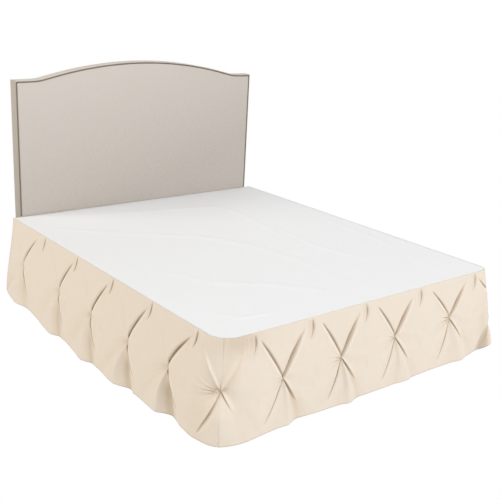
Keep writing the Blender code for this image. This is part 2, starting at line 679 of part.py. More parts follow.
def board_edge(inset, bottom):
    """Trace the headboard's sides and top, drawn in by inset, from bottom left to bottom right."""
    half = BOARD_WIDTH / 2 - inset
    points = [(-half, bottom)]
    for step in range(BOARD_TOP_STEPS + 1):
        x = half * (2 * step / BOARD_TOP_STEPS - 1)
        slope = (board_top(x + SLOPE_STEP) - board_top(x - SLOPE_STEP)) / (2 * SLOPE_STEP)
        points.append((x, board_top(x) - inset * math.hypot(1.0, slope)))
    points.append((half, bottom))
    return points


def make_headboard(collection, linen, wood, brass):
    """Upholster the headboard panel, trim it with its nail strip and stand it on two posts."""
    upright = Matrix.Rotation(math.pi / 2, 4, "X")
    back = Matrix.Translation((0.0, BOARD_BACK, 0.0)) @ upright
    outline = board_edge(0.0, BOARD_BOTTOM)
    panel = make_prism("headboard", outline, BOARD_THICKNESS, back, collection, linen)
    round_edges(panel, BOARD_EDGE, 2)
    front = Matrix.Translation((0.0, BOARD_FRONT - GAP, 0.0)) @ upright
    outline = board_edge(NAIL_INSET, NAIL_BOTTOM)
    outline += reversed(board_edge(NAIL_INSET + NAIL_WIDTH, NAIL_BOTTOM))
    make_prism("nail_strip", outline, NAIL_RISE, front, collection, brass)
    post_front = BOARD_BACK + GAP
    for side, word in ((-1, "left"), (1, "right")):
        x = side * (POST_X - POST_WIDTH / 2)
        low = (x - POST_WIDTH / 2, post_front, 0.0)
        high = (x + POST_WIDTH / 2, post_front + POST_THICKNESS, POST_TOP)
        make_box(f"post_{word}", low, high, collection, wood)


def main():
    clear_scene()
    collection = bpy.data.collections.new("bed_skirt_on_bed")
    bpy.context.scene.collection.children.link(collection)
    cream = make_material("cream_cotton", (0.83, 0.72, 0.58), 0.9)
    white = make_material("white_deck_cloth", (0.90, 0.90, 0.90), 0.9)
    ticking = make_material("ticking", (0.80, 0.80, 0.78), 0.9)
    steel = make_material("black_steel", (0.05, 0.05, 0.05), 0.45, 0.6)
    rubber = make_material("leg_enamel", (0.04, 0.04, 0.04), 0.6)
    linen = make_material("greige_linen", (0.62, 0.56, 0.49), 0.95)
    wood = make_material("post_wood", (0.45, 0.32, 0.20), 0.6)
    make_skirt(collection, white, cream)
    make_box_spring(collection, ticking)
    make_frame(collection, steel, rubber)
    brass = make_material("nail_brass", (0.35, 0.26, 0.14), 0.45, 0.9)
    make_headboard(collection, linen, wood, brass)


main()
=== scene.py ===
"""Pinch-pleated bed skirt on its plain bed: the cloth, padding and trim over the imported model.

Sizes are in metres. The floor is z = 0, the head of the bed is at +Y and its foot at -Y. A place
on a drop of the skirt is given by s, the distance along the deck's seam from the head end of the
left side round the foot to the head end of the right side, and by its height z.
"""

import logging
import math
from dataclasses import dataclass
from enum import Enum

import bpy
import numpy as np
from mathutils import Matrix, Vector


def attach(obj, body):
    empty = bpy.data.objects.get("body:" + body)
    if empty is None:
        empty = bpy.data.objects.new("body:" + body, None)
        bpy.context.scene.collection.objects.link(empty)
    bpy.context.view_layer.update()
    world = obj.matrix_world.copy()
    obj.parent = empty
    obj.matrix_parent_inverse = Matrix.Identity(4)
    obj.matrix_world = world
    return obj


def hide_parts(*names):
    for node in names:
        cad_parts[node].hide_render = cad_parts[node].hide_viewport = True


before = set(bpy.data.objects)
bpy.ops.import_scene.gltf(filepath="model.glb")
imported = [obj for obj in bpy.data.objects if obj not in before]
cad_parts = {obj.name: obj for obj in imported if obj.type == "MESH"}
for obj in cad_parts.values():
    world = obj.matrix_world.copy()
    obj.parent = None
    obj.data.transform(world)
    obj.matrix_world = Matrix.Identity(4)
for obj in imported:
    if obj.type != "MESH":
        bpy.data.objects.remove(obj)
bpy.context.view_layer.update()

log = logging.getLogger("bed_skirt")


class Slot(Enum):
    """The record's material slots."""

    CREAM = "cream_cotton"
    DECK = "white_deck_cloth"
    TICKING = "ticking"
    LINEN = "greige_linen"
    STEEL = "black_steel"
    ENAMEL = "leg_enamel"
    BRASS = "nail_brass"
    WOOD = "post_wood"


# ---- small helpers --------------------------------------------------------------------------

def smooth(t: np.ndarray) -> np.ndarray:
    """Ease from 0 to 1 as t goes from 0 to 1."""
    t = np.clip(t, 0.0, 1.0)
    return t * t * (3 - 2 * t)


def mix(low: np.ndarray, high: np.ndarray, t: np.ndarray) -> np.ndarray:
    """Blend from low to high as t goes from 0 to 1."""
    return low + (high - low) * t


def hump(distance: np.ndarray, width: float) -> np.ndarray:
    """Return a soft hump, 1 at no distance and near 0 past twice the width."""
    return np.exp(-((distance / width) ** 2))


def new_mesh(name: str, points: np.ndarray | list, faces: np.ndarray | list) -> bpy.types.Object:
    """Make a smooth mesh object from points and faces.

    Args:
        name: the piece's name.
        points: one row of three numbers for each vertex.
        faces: one row of vertex numbers for each face.

    Returns:
        The new object, linked to the scene.
    """
    mesh = bpy.data.meshes.new(name)
    mesh.from_pydata(np.asarray(points).tolist(), [],
                     faces.tolist() if isinstance(faces, np.ndarray) else faces)
    mesh.validate()
    mesh.shade_smooth()
    piece = bpy.data.objects.new(name, mesh)
    bpy.context.scene.collection.objects.link(piece)
    return piece


def grid_faces(rows: int, columns: int) -> np.ndarray:
    """List the quads of a grid of vertices counted row by row.

    Args:
        rows: number of rows of vertices.
        columns: number of vertices in a row.

    Returns:
        One row of four vertex numbers for each quad.
    """
    corner = np.arange((rows - 1) * columns).reshape(rows - 1, columns)[:, :-1].ravel()
    return np.stack([corner, corner + columns, corner + columns + 1, corner + 1], axis=1)


def select_only(piece: bpy.types.Object) -> None:
    """Make a piece the only one selected, and the active one.

    Args:
        piece: the piece.
    """
    bpy.ops.object.select_all(action="DESELECT")
    piece.select_set(True)
    bpy.context.view_layer.objects.active = piece


def smooth_by_angle(piece: bpy.types.Object, degrees: float) -> None:
    """Smooth a piece but keep its edges sharper than an angle."""
    select_only(piece)
    bpy.ops.object.shade_smooth_by_angle(angle=math.radians(degrees))


def thicken(piece: bpy.types.Object, thickness: float) -> None:
    """Give a sheet its thickness behind its outer face.

    Args:
        piece: the sheet, with its faces pointing outwards.
        thickness: the cloth's thickness.
    """
    select_only(piece)
    wall = piece.modifiers.new("cloth", "SOLIDIFY")
    wall.thickness = thickness
    wall.offset = -1.0
    bpy.ops.object.modifier_apply(modifier=wall.name)


def add_uv(piece: bpy.types.Object, coordinates: np.ndarray) -> None:
    """Give a piece a UV map in metres.

    Args:
        piece: the piece.
        coordinates: u and v for each vertex.
    """
    layer = piece.data.uv_layers.new(name="cloth_metres")
    index = np.empty(len(piece.data.loops), dtype=np.int32)
    piece.data.loops.foreach_get("vertex_index", index)
    layer.data.foreach_set("uv", coordinates[index].astype(np.float32).ravel())


def add_attribute(piece: bpy.types.Object, name: str, values: np.ndarray) -> None:
    """Give a piece a number at each vertex for its material to read."""
    layer = piece.data.attributes.new(name, "FLOAT", "POINT")
    layer.data.foreach_set("value", values.astype(np.float32).ravel())


def declare(piece: bpy.types.Object, node: str, material: bpy.types.Material) -> None:
    """Give a finished piece its material, hide the solid that it replaces and attach it to the root
    body.

    Args:
        piece: the piece.
        node: the solid that it replaces.
        material: its material.
    """
    piece.data.materials.append(material)
    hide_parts(node)
    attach(piece, "root")
    log.info("%s: %d faces", piece.name, len(piece.data.polygons))


# ---- the skirt's shape ----------------------------------------------------------------------

@dataclass(frozen=True)
class Seam:
    """The line round the deck where the drops are sewn on."""

    width: float = 1.829
    length: float = 2.134
    left_radius: float = 0.10
    right_radius: float = 0.05

    def ends(self) -> tuple[float, float, float, float, float]:
        """Find where the runs and arcs of the seam end.

        Returns:
            s at the end of the left run, left arc, foot run, right arc and right run.
        """
        left = self.length - self.left_radius
        left_arc = left + math.pi / 2 * self.left_radius
        foot = left_arc + self.width - self.left_radius - self.right_radius
        right_arc = foot + math.pi / 2 * self.right_radius
        return left, left_arc, foot, right_arc, right_arc + self.length - self.right_radius

    def at(self, s: np.ndarray) -> tuple[np.ndarray, np.ndarray, np.ndarray, np.ndarray]:
        """Find places on the seam and the direction outwards there.

        Args:
            s: distances along the seam.

        Returns:
            x and y of the places, then x and y of the directions.
        """
        left, left_arc, foot, right_arc, _ = self.ends()
        first = np.clip((s - left) / self.left_radius, 0.0, math.pi / 2)
        second = np.clip((s - foot) / self.right_radius, 0.0, math.pi / 2)
        turn = first + second
        x = -self.width / 2 + self.left_radius * (1 - np.cos(first))
        x = x + np.clip(s - left_arc, 0.0, foot - left_arc) + self.right_radius * np.sin(second)
        y = self.length / 2 - np.minimum(s, left) - self.left_radius * np.sin(first)
        y = y + self.right_radius * (1 - np.cos(second)) + np.maximum(0.0, s - right_arc)
        return x, y, -np.cos(turn), -np.sin(turn)


@dataclass(frozen=True)
class Crease:
    """The cross-section of one of the four creases that meet in each pinch."""

    depth: float
    inner_reach: float
    outer_reach: float
    lip: float
    # How much shade is painted into the crease.
    painted_shade: float
    peak: float
    ending: float


UPPER_LEFT = Crease(depth=0.015, inner_reach=0.019, outer_reach=0.009, lip=0.0032, painted_shade=0.39,
                    peak=0.65, ending=0.35)
UPPER_RIGHT = Crease(depth=0.018, inner_reach=0.034, outer_reach=0.012, lip=0.0034, painted_shade=0.31,
                     peak=0.50, ending=0.60)
LOWER_LEFT = Crease(depth=0.019, inner_reach=0.034, outer_reach=0.010, lip=0.0036, painted_shade=0.70,
                    peak=0.60, ending=0.45)
LOWER_RIGHT = Crease(depth=0.013, inner_reach=0.022, outer_reach=0.008, lip=0.0030, painted_shade=0.42,
                     peak=0.20, ending=0.80)


@dataclass(frozen=True)
class Pleat:
    """One pinched pleat: places along the seam, the runs of its creases and their strengths."""

    tuck: float
    pinch: float
    height: float
    left_arm: float
    right_arm: float
    bow: float
    left_tail: float
    left_reach: float
    right_tail: float
    right_reach: float
    upper_left: float
    upper_right: float
    lower_left: float
    lower_right: float
    dip: float
    puckers: float


PLEATS = tuple(Pleat(*sizes) for sizes in (
    # tuck, pinch, height, arms, bow, tail, reach, tail, reach, weights ul ur ll lr, dip, puckers
    (.000, .210, .215, .126, .149, 1.30, .040, .80, .165, .80, .12, 1.10, .00, 1.00, 1.3, .2),
    (.456, .710, .217, .160, .112, 1.35, .035, .85, .165, .80, .12, 1.15, .00, 1.10, 1.3, .3),
    (.850, 1.090, .211, .160, .112, 1.40, .030, .80, .165, .80, .12, 1.15, .00, 1.10, 1.3, .3),
    (1.235, 1.460, .202, .150, .115, 1.40, .035, .85, .150, .80, .12, 1.15, .00, 1.10, 1.3, .3),
    (1.600, 1.800, .210, .130, .145, 1.40, .040, .85, .145, .80, .12, 1.15, .00, 1.10, 1.2, .4),
    (1.970, 2.118, .228, .085, .085, 1.10, .055, .88, .035, .40, -.80, -1.1, .60, .80, .8, .8),
    (2.269, 2.416, .217, .118, .140, 1.10, .135, .82, .070, .60, 1.00, 1.00, 1.00, .90, 1.0, .5),
    (2.603, 2.784, .222, .120, .124, 1.10, .110, .80, .078, .58, 1.00, 1.00, 1.00, .90, 1.0, .9),
    (2.955, 3.160, .238, .125, .128, 1.12, .115, .82, .085, .58, 1.00, 1.00, 1.00, .90, 1.0, .9),
    (3.351, 3.593, .244, .150, .125, 1.10, .115, .82, .095, .58, 1.00, 1.00, 1.00, .90, 1.0, 1.4),
    (3.795, 3.980, .240, .150, .100, 1.10, .110, .95, .060, .50, 1.00, .80, .25, .60, .9, .6),
    (4.165, 4.352, .218, .115, .130, 1.20, .110, .80, .078, .58, 1.00, 1.00, .95, .90, 1.0, .7),
    (4.540, 4.719, .212, .120, .115, 1.20, .105, .78, .084, .60, 1.05, 1.00, 1.00, .90, 1.1, 1.0),
    (4.912, 5.098, .224, .110, .130, 1.15, .115, .82, .078, .55, .95, 1.05, .90, .85, 1.0, .8),
    (5.284, 5.467, .209, .115, .120, 1.20, .110, .80, .085, .60, 1.00, 1.00, 1.00, .95, 1.1, 1.1),
    (5.655, 5.846, .219, .120, .110, 1.15, .105, .80, .072, .55, .95, .95, .90, .85, 1.0, .6),
))
LEFT_CORNER_PLEAT = 5
RIGHT_CORNER_PLEAT = 10

# The hem's line on the floor, in mm: places along the seam and how far outside it the hem stands.
HEM_LINE = (
    (0, 60), (70, 80), (143, 92), (217, 104), (262, 104), (312, 88), (345, 82), (385, 83),
    (450, 90), (544, 100), (630, 114), (720, 126), (762, 127), (785, 117), (812, 99), (848, 97),
    (930, 105), (1037, 121), (1086, 130), (1138, 137), (1172, 122), (1201, 104), (1235, 104),
    (1312, 112), (1400, 124), (1456, 125), (1491, 111), (1533, 86), (1552, 82), (1600, 90),
    (1700, 97), (1775, 101), (1803, 99), (1830, 73), (1858, 58), (1876, 54), (1915, 62),
    (1960, 75), (2036, 83), (2075, 91), (2098, 106), (2121, 114), (2145, 104), (2178, 95),
    (2262, 88), (2350, 82), (2400, 84), (2422, 87), (2447, 77), (2478, 64), (2500, 61),
    (2560, 68), (2640, 74), (2740, 78), (2768, 82), (2792, 92), (2814, 93), (2847, 79),
    (2880, 70), (2950, 73), (3050, 75), (3148, 75), (3168, 81), (3232, 85), (3266, 73),
    (3290, 71), (3360, 71), (3415, 69), (3510, 72), (3588, 73), (3640, 84), (3670, 86),
    (3713, 72), (3755, 62), (3800, 54), (3850, 46), (3885, 48), (3912, 62), (3935, 76),
    (3960, 88), (3985, 84), (4030, 70), (4100, 66), (4250, 84), (4352, 92), (4400, 98),
    (4440, 78), (4560, 84), (4719, 104), (4775, 112), (4820, 86), (4950, 92), (5090, 102),
    (5150, 107), (5195, 86), (5320, 92), (5460, 112), (5530, 118), (5575, 92), (5700, 88),
    (5840, 86), (5900, 88), (5950, 74), (6060, 60),
)


def column_of(name: str) -> np.ndarray:
    """Return one size of every pleat."""
    return np.array([getattr(pleat, name) for pleat in PLEATS])


TUCK, PINCH, HEIGHT, BOW, DIP, PUCKERS = (
    column_of(name) for name in ("tuck", "pinch", "height", "bow", "dip", "puckers"))
HEM_PLACE, HEM_OUT = np.array(HEM_LINE).T / 1000


@dataclass(frozen=True)
class Spots:
    """Places on the hanging cloth, as arrays of one shape.

    The side is -1 to the left of a pinch and 1 to its right.
    """

    pleat: np.ndarray
    side: np.ndarray
    z: np.ndarray
    s: np.ndarray | None = None

    @property
    def x(self) -> np.ndarray:
        """Return the distances along the seam from the pinch line."""
        return self.s - PINCH[self.pleat]

    @property
    def height(self) -> np.ndarray:
        """Return the heights of the pleats' pinches."""
        return HEIGHT[self.pleat]

    @property
    def upper(self) -> np.ndarray:
        """Say which places are level with the pinch or above it."""
        return self.z >= self.height

    @property
    def on_left(self) -> np.ndarray:
        """Say which pleats hang on the bed's left side, before its corner pleat."""
        return self.pleat < LEFT_CORNER_PLEAT

    def of_pleat(self, left: str, right: str) -> np.ndarray:
        """Read a size that the pleats have on both sides of the pinch, under two names."""
        return np.where(self.side < 0, column_of(left)[self.pleat], column_of(right)[self.pleat])

    def of_crease(self, name: str) -> np.ndarray:
        """Read one size of the crease that passes each place.

        Args:
            name: the size's name.

        Returns:
            The size for each place.
        """
        upper = np.where(self.side < 0, getattr(UPPER_LEFT, name), getattr(UPPER_RIGHT, name))
        lower = np.where(self.side < 0, getattr(LOWER_LEFT, name), getattr(LOWER_RIGHT, name))
        return np.where(self.upper, upper, lower)


@dataclass(frozen=True)
class Hang:
    """The seam that the cloth hangs from and the heights of its top and hem."""

    seam: Seam = Seam()
    top: float = 0.457
    hem: float = 0.004

    @property
    def end(self) -> float:
        """Return s at the head end of the right side."""
        return self.seam.ends()[-1]

    def middles(self) -> np.ndarray:
        """Return s halfway between the pinches, and at both ends."""
        return np.concatenate([[0.0], (PINCH[1:] + PINCH[:-1]) / 2, [self.end]])

    def fall(self, at: Spots) -> np.ndarray:
        """Return how far below the pinch places are, from 0 there to 1 at the hem."""
        return np.clip((at.height - at.z) / (at.height - self.hem), 0.0, 1.0)


@dataclass(frozen=True)
class Creases(Hang):
    """The creases that meet in the pinches: their runs, depths, lips, laps and shade."""

    below_top: float = 0.040
    start_share: float = 0.60
    end_width: float = 0.55
    corner_width: float = 0.5
    inner_bend: float = 1.8
    lip_place: float = 1.7
    lip_spread: float = 0.008
    lap: float = 0.004
    lap_place: float = 0.007
    lap_spread: float = 0.006
    # The rest set the shade painted into the creases and the highlights painted on their lips.
    core_shift: float = 0.002
    core_offset: float = 0.0055
    left_offset: float = 0.0085
    core_width: float = 0.0052
    left_core: float = 0.85
    soft_painted_shade: float = 0.10
    soft_width: float = 0.020
    wall_painted_shade: float = 0.40
    wall_place: float = 0.5
    wall_spread: float = 0.6
    shade_gain: float = 1.2
    shade_bend: float = 0.7
    faint: float = 0.35
    left_painted_shade: float = 2.1
    left_low_painted_shade: float = 1.5
    painted_lip_highlight: float = 0.55
    lip_highlight_width: float = 0.0055
    low_lip_place: float = 0.55

    def rise(self, at: Spots) -> np.ndarray:
        """Return how far above the pinch places are, as a share of the upper creases."""
        return (at.z - at.height) / (self.top - self.below_top - at.height)

    def place(self, at: Spots) -> np.ndarray:
        """Find how far from the pinch line the creases run.

        Args:
            at: places on the cloth, of which s isn't used.

        Returns:
            Distances from the pinch line.
        """
        rise, bow = np.maximum(0.0, self.rise(at)), BOW[at.pleat]
        curve = np.where(rise < 1, rise ** bow, mix(1.0, rise, bow))
        tail = at.of_pleat("left_tail", "right_tail") * self.fall(at)
        tail = tail / at.of_pleat("left_reach", "right_reach")
        return np.where(at.upper, at.of_pleat("left_arm", "right_arm") * curve, tail)

    def along(self, at: Spots) -> np.ndarray:
        """Return how far along its crease a place is, from 0 at the pinch to 1 at its end."""
        below = self.fall(at) / at.of_pleat("left_reach", "right_reach")
        return np.minimum(1.0, np.where(at.upper, self.rise(at), below))

    def strength(self, at: Spots) -> np.ndarray:
        """Find how deep the creases are.

        Args:
            at: places on the cloth.

        Returns:
            Shares of the full depth.
        """
        along, peak = self.along(at), at.of_crease("peak")
        start = mix(self.start_share, 1.0, smooth(along / peak))
        end = np.clip((1 - along) / (1 - peak), 0.0, 1.0)
        weight = np.where(at.upper, at.of_pleat("upper_left", "upper_right"),
                          at.of_pleat("lower_left", "lower_right"))
        return weight * start * end ** at.of_crease("ending")

    def parts(self, at: Spots) -> tuple[np.ndarray, np.ndarray, np.ndarray]:
        """Work out the cut, lap and shade of the creases.

        Args:
            at: places on the cloth.

        Returns:
            The cloth's move inwards, the sideways lap of the outer fold and the shade.
        """
        strength = self.strength(at)
        belly = np.sin(math.pi * np.clip(self.along(at), 0.0, 1.0))
        width = mix(self.end_width, 1.0, belly)
        width = width * np.where(at.pleat == LEFT_CORNER_PLEAT, self.corner_width, 1.0)
        beyond = at.side * at.x - self.place(at)
        inner = 1 + beyond / (at.of_crease("inner_reach") * width)
        inner = np.clip(inner, 0.0, 1.0) ** self.inner_bend
        outer_reach = at.of_crease("outer_reach") * width
        outer = 1 - smooth(beyond / outer_reach)
        cut = at.of_crease("depth") * strength * np.where(beyond < 0, inner, outer)
        lip = at.of_crease("lip") * strength
        lip = lip * hump(beyond - self.lip_place * outer_reach, self.lip_spread)
        lap = np.where(at.on_left == (at.side > 0), self.lap, 0.0) * strength
        lap = lap * hump(beyond - self.lap_place, self.lap_spread)
        return cut - lip, lap, self.shade(at, strength, beyond, width)

    def shade(self, at: Spots, strength: np.ndarray, beyond: np.ndarray,
              width: np.ndarray) -> np.ndarray:
        """Paint shade into the bottoms of the creases and paint highlights on their lips.

        Args:
            at: places on the cloth.
            strength: how deep the creases are there.
            beyond: how far outwards from the creases the places are.
            width: the creases' widths, as shares of the full one.

        Returns:
            The painted shade, above 0 where it darkens and below 0 where it is a painted highlight.
        """
        hidden = np.where(at.on_left, self.left_offset, self.core_offset)
        hidden = np.where(at.on_left == (at.side > 0), self.core_shift + hidden * strength, 0.0)
        core_width = self.core_width * np.where(at.on_left, self.left_core, 1.0)
        core = hump(beyond + hidden, core_width * width)
        core = core + self.soft_painted_shade * hump(beyond, self.soft_width)
        outer_reach = at.of_crease("outer_reach") * width
        wall = hump(beyond - self.wall_place * outer_reach, self.wall_spread * outer_reach)
        seen = smooth(strength / self.faint)
        shade = np.clip(self.shade_gain * strength, 0.0, 1.0) ** self.shade_bend * seen
        shade = shade * np.maximum(core, self.wall_painted_shade * wall)
        painted_shade = at.of_crease("painted_shade")
        deeper = np.where(at.z > at.height, self.left_painted_shade, self.left_low_painted_shade)
        painted_shade = np.where(at.on_left, np.minimum(1.0, deeper * painted_shade), painted_shade)
        # Painted highlights along the crease lips.
        lit = np.where((at.side < 0) & ~at.upper & ~at.on_left,
                       -self.low_lip_place * (at.of_crease("inner_reach") * width),
                       self.lip_place * outer_reach)
        light = self.painted_lip_highlight * hump(beyond - lit, self.lip_highlight_width)
        light = light * np.clip(strength, 0.0, 1.0) ** self.shade_bend * seen
        return shade * painted_shade - light


@dataclass(frozen=True)
class Tucks(Hang):
    """The short tucks at the seam, with the valleys and gathers beside them."""

    length: float = 0.100
    left_share: float = 0.92
    start_share: float = 0.35
    end_gain: float = 1.8
    bow: float = 0.006
    lean: float = 0.014
    rise: float = 0.0055
    far_rise: float = 0.6
    front: float = 0.016
    back: float = 0.014
    gap: float = 0.0025
    gap_spread: float = 1.3
    drop: float = 0.012
    # Shade painted into the tucks' gaps and softly beside them:
    painted_shade: float = 1.0
    shade_width: float = 0.0024
    seen: float = 0.0030
    soft_painted_shade: float = 0.14
    soft_spread: float = 8.0
    shade_bend: float = 0.6
    valley: float = 0.0040
    valley_place: float = 0.022
    valley_width: float = 0.015
    valley_start: float = 0.03
    valley_end: float = 0.11
    gather: float = 0.0010
    gather_pitch: float = 0.024
    gather_place: float = 0.05
    gather_width: float = 0.035

    def line(self, tuck: np.ndarray, z: np.ndarray) -> np.ndarray:
        """Return where the tuck that starts at s = tuck runs at heights z."""
        along = np.clip((self.top - z) / self.length, 0.0, 1.0)
        return tuck + self.bow * np.sin(math.pi * along) - self.lean * along ** 2

    def strength(self, z: np.ndarray) -> np.ndarray:
        """Return how strong the tucks are at heights z."""
        along = np.clip((self.top - z) / self.length, 0.0, 1.0)
        return smooth(along / self.start_share) * np.clip(self.end_gain * (1 - along), 0, 1)

    def fold(self, s: np.ndarray, z: np.ndarray) -> tuple[np.ndarray, np.ndarray]:
        """Work out the tucks' folds and their shade.

        Args:
            s: places along the seam.
            z: heights.

        Returns:
            The rise to each lip and the drop into the gap past it, and the shade painted in the
            gap.
        """
        fold, shade = np.zeros(s.shape), np.zeros(s.shape)
        fade = smooth((self.top - z) / self.valley_start) * hump(self.top - z, self.valley_end)
        for number, tuck in enumerate(TUCK[1:], start=1):
            on_left = number <= LEFT_CORNER_PLEAT
            short, seen = (self.left_share, self.seen) if on_left else (1.0, -self.seen)
            lower = self.top - (self.top - z) / short
            beyond = s - self.line(tuck, lower)
            strength = self.strength(lower)
            rise = np.exp(-np.abs(beyond) / np.where(beyond < 0, self.front, self.back))
            gap = hump(beyond - self.gap, self.gap * self.gap_spread)
            part = self.rise * np.where(beyond < 0, rise, self.far_rise * rise) - self.drop * gap
            # Shade painted into the gap and softly around the tuck.
            dark = self.painted_shade * hump(beyond - seen, self.shade_width)
            dark = dark + self.soft_painted_shade * hump(beyond, self.soft_spread * self.shade_width)
            shade = shade + dark * strength ** self.shade_bend
            valley = short * hump(beyond + self.valley_place, self.valley_width)
            gathers = np.sin(2 * math.pi * beyond / self.gather_pitch)
            gathers = gathers * hump(beyond + self.gather_place, self.gather_width)
            fold = fold + part * strength + fade * (self.gather * gathers - self.valley * valley)
        return fold, shade


@dataclass(frozen=True)
class Flare(Hang):
    """The cloth's spread towards the floor, with the cones under the pinches."""

    blur: tuple[float, ...] = (-0.006, -0.002, 0.002, 0.006)
    fan: float = 0.10
    start: float = 0.55
    ease: float = 0.6
    corner: float = 0.058
    corner_width: float = 0.045
    cone_rise: float = 0.007
    cone_apex: float = 0.08
    cone_foot: float = 0.040
    cone_flank: float = 0.050
    cone_crest: float = 0.040
    cone_back: float = 0.060
    cone_low: float = 0.8
    cone_round: float = 0.7
    corner_cone: float = 0.3

    def hem_line(self, s: np.ndarray) -> np.ndarray:
        """Return how far outside the seam the hem stands on the floor."""
        return sum(np.interp(s + shift, HEM_PLACE, HEM_OUT) for shift in self.blur) / len(self.blur)

    def hem_flare(self, s: np.ndarray) -> np.ndarray:
        """Return how far outside the seam the hem stands, without its waves."""
        middles = self.middles()
        return np.interp(s, middles, self.hem_line(middles))

    def hem_wave(self, at: Spots) -> np.ndarray:
        """Find the hem's waves, drawn in towards each pinch above it.

        Args:
            at: places on the cloth.

        Returns:
            Distances outwards.
        """
        middles = self.middles()
        mapped = PINCH[at.pleat] + at.x / mix(self.fan, 1.0, self.fall(at))
        mapped = np.clip(mapped, middles[at.pleat], middles[at.pleat + 1])
        return self.hem_line(mapped) - self.hem_flare(mapped)

    def out(self, at: Spots) -> np.ndarray:
        """Find how far the flare puts the cloth outside the seam.

        Args:
            at: places on the cloth.

        Returns:
            Distances outwards.
        """
        fall = (self.top - at.z) / (self.top - self.hem)
        pinch_height = np.interp(at.s, PINCH, HEIGHT)
        below = smooth((pinch_height - at.z) / (self.start * (pinch_height - self.hem)))
        corner = self.corner * hump(at.s - self.seam.ends()[3], self.corner_width)
        out = (self.hem_flare(at.s) + corner) * mix(fall, smooth(fall), self.ease)
        return out + self.hem_wave(at) * below

    def cones(self, at: Spots) -> np.ndarray:
        """Find the rise of the narrow cones that stand below the pinches.

        Args:
            at: places on the cloth.

        Returns:
            Distances outwards.
        """
        fall = self.fall(at)
        across = np.where(at.on_left, -1.0, 1.0) * at.x / (fall + self.cone_apex)
        crest = smooth((across + self.cone_foot) / self.cone_flank)
        crest = crest * (1 - smooth((across - self.cone_crest) / self.cone_back))
        swell = np.sin(math.pi * fall ** self.cone_low) ** self.cone_round
        swell = swell * np.where(at.pleat == LEFT_CORNER_PLEAT, self.corner_cone, 1.0)
        return self.cone_rise * crest * swell


@dataclass(frozen=True)
class SmallFolds(Hang):
    """The puckers beside the pinches and the swags that hang between them."""

    pucker: float = 0.0046
    # Shade painted into the puckers' hollows.
    pucker_painted_shade: float = 0.65
    pucker_reach: float = 0.019
    pucker_start: float = 0.004
    pucker_fan: float = 0.75
    pucker_count: float = 4.0
    pucker_turn: float = 1.5
    swag: float = 0.0042
    swag_width: float = 0.022
    swag_round: float = 0.8
    sag: float = 0.030
    sag_start: float = 0.012
    second_swag: float = 0.7
    second_gap: float = 0.045
    least_run: float = 1e-9

    def puckers(self, at: Spots) -> tuple[np.ndarray, np.ndarray]:
        """Fan the puckers out beside each pinch.

        Args:
            at: places on the cloth.

        Returns:
            Their strength and their wave, from -1 to 1.
        """
        rise = at.z - at.height
        radius, turn = np.hypot(at.x, rise), np.arctan2(rise, -at.x)
        near = radius / self.pucker_reach
        strength = near * np.exp(1 - near) * (radius > self.pucker_start)
        strength = strength * hump(turn, self.pucker_fan) * PUCKERS[at.pleat]
        return strength, np.sin(2 * math.pi * self.pucker_count * turn / self.pucker_turn)

    def swags(self, at: Spots) -> np.ndarray:
        """Hang the swags between neighbouring pinches.

        Args:
            at: places on the cloth.

        Returns:
            Their rise, as a share of the full one.
        """
        middles, x = self.middles(), at.x
        before = PINCH[at.pleat] - middles[at.pleat] + self.least_run
        after = middles[at.pleat + 1] - PINCH[at.pleat] + self.least_run
        along = np.clip(np.where(x < 0, -x / before, x / after), 0.0, 1.0)
        low = at.z - at.height + self.sag * smooth(along) - self.sag_start
        line = hump(low, self.swag_width)
        line = line - self.second_swag * hump(low + self.second_gap, self.swag_width)
        return line * np.sin(math.pi * along) ** self.swag_round

    def fold(self, at: Spots) -> tuple[np.ndarray, np.ndarray]:
        """Work out the puckers and swags together.

        Args:
            at: places on the cloth.

        Returns:
            Their rise outwards and the shade painted into the puckers.
        """
        strength, wave = self.puckers(at)
        rise = self.pucker * strength * wave + self.swag * self.swags(at)
        return rise, self.pucker_painted_shade * strength * np.clip(-wave, 0.0, 1.0)


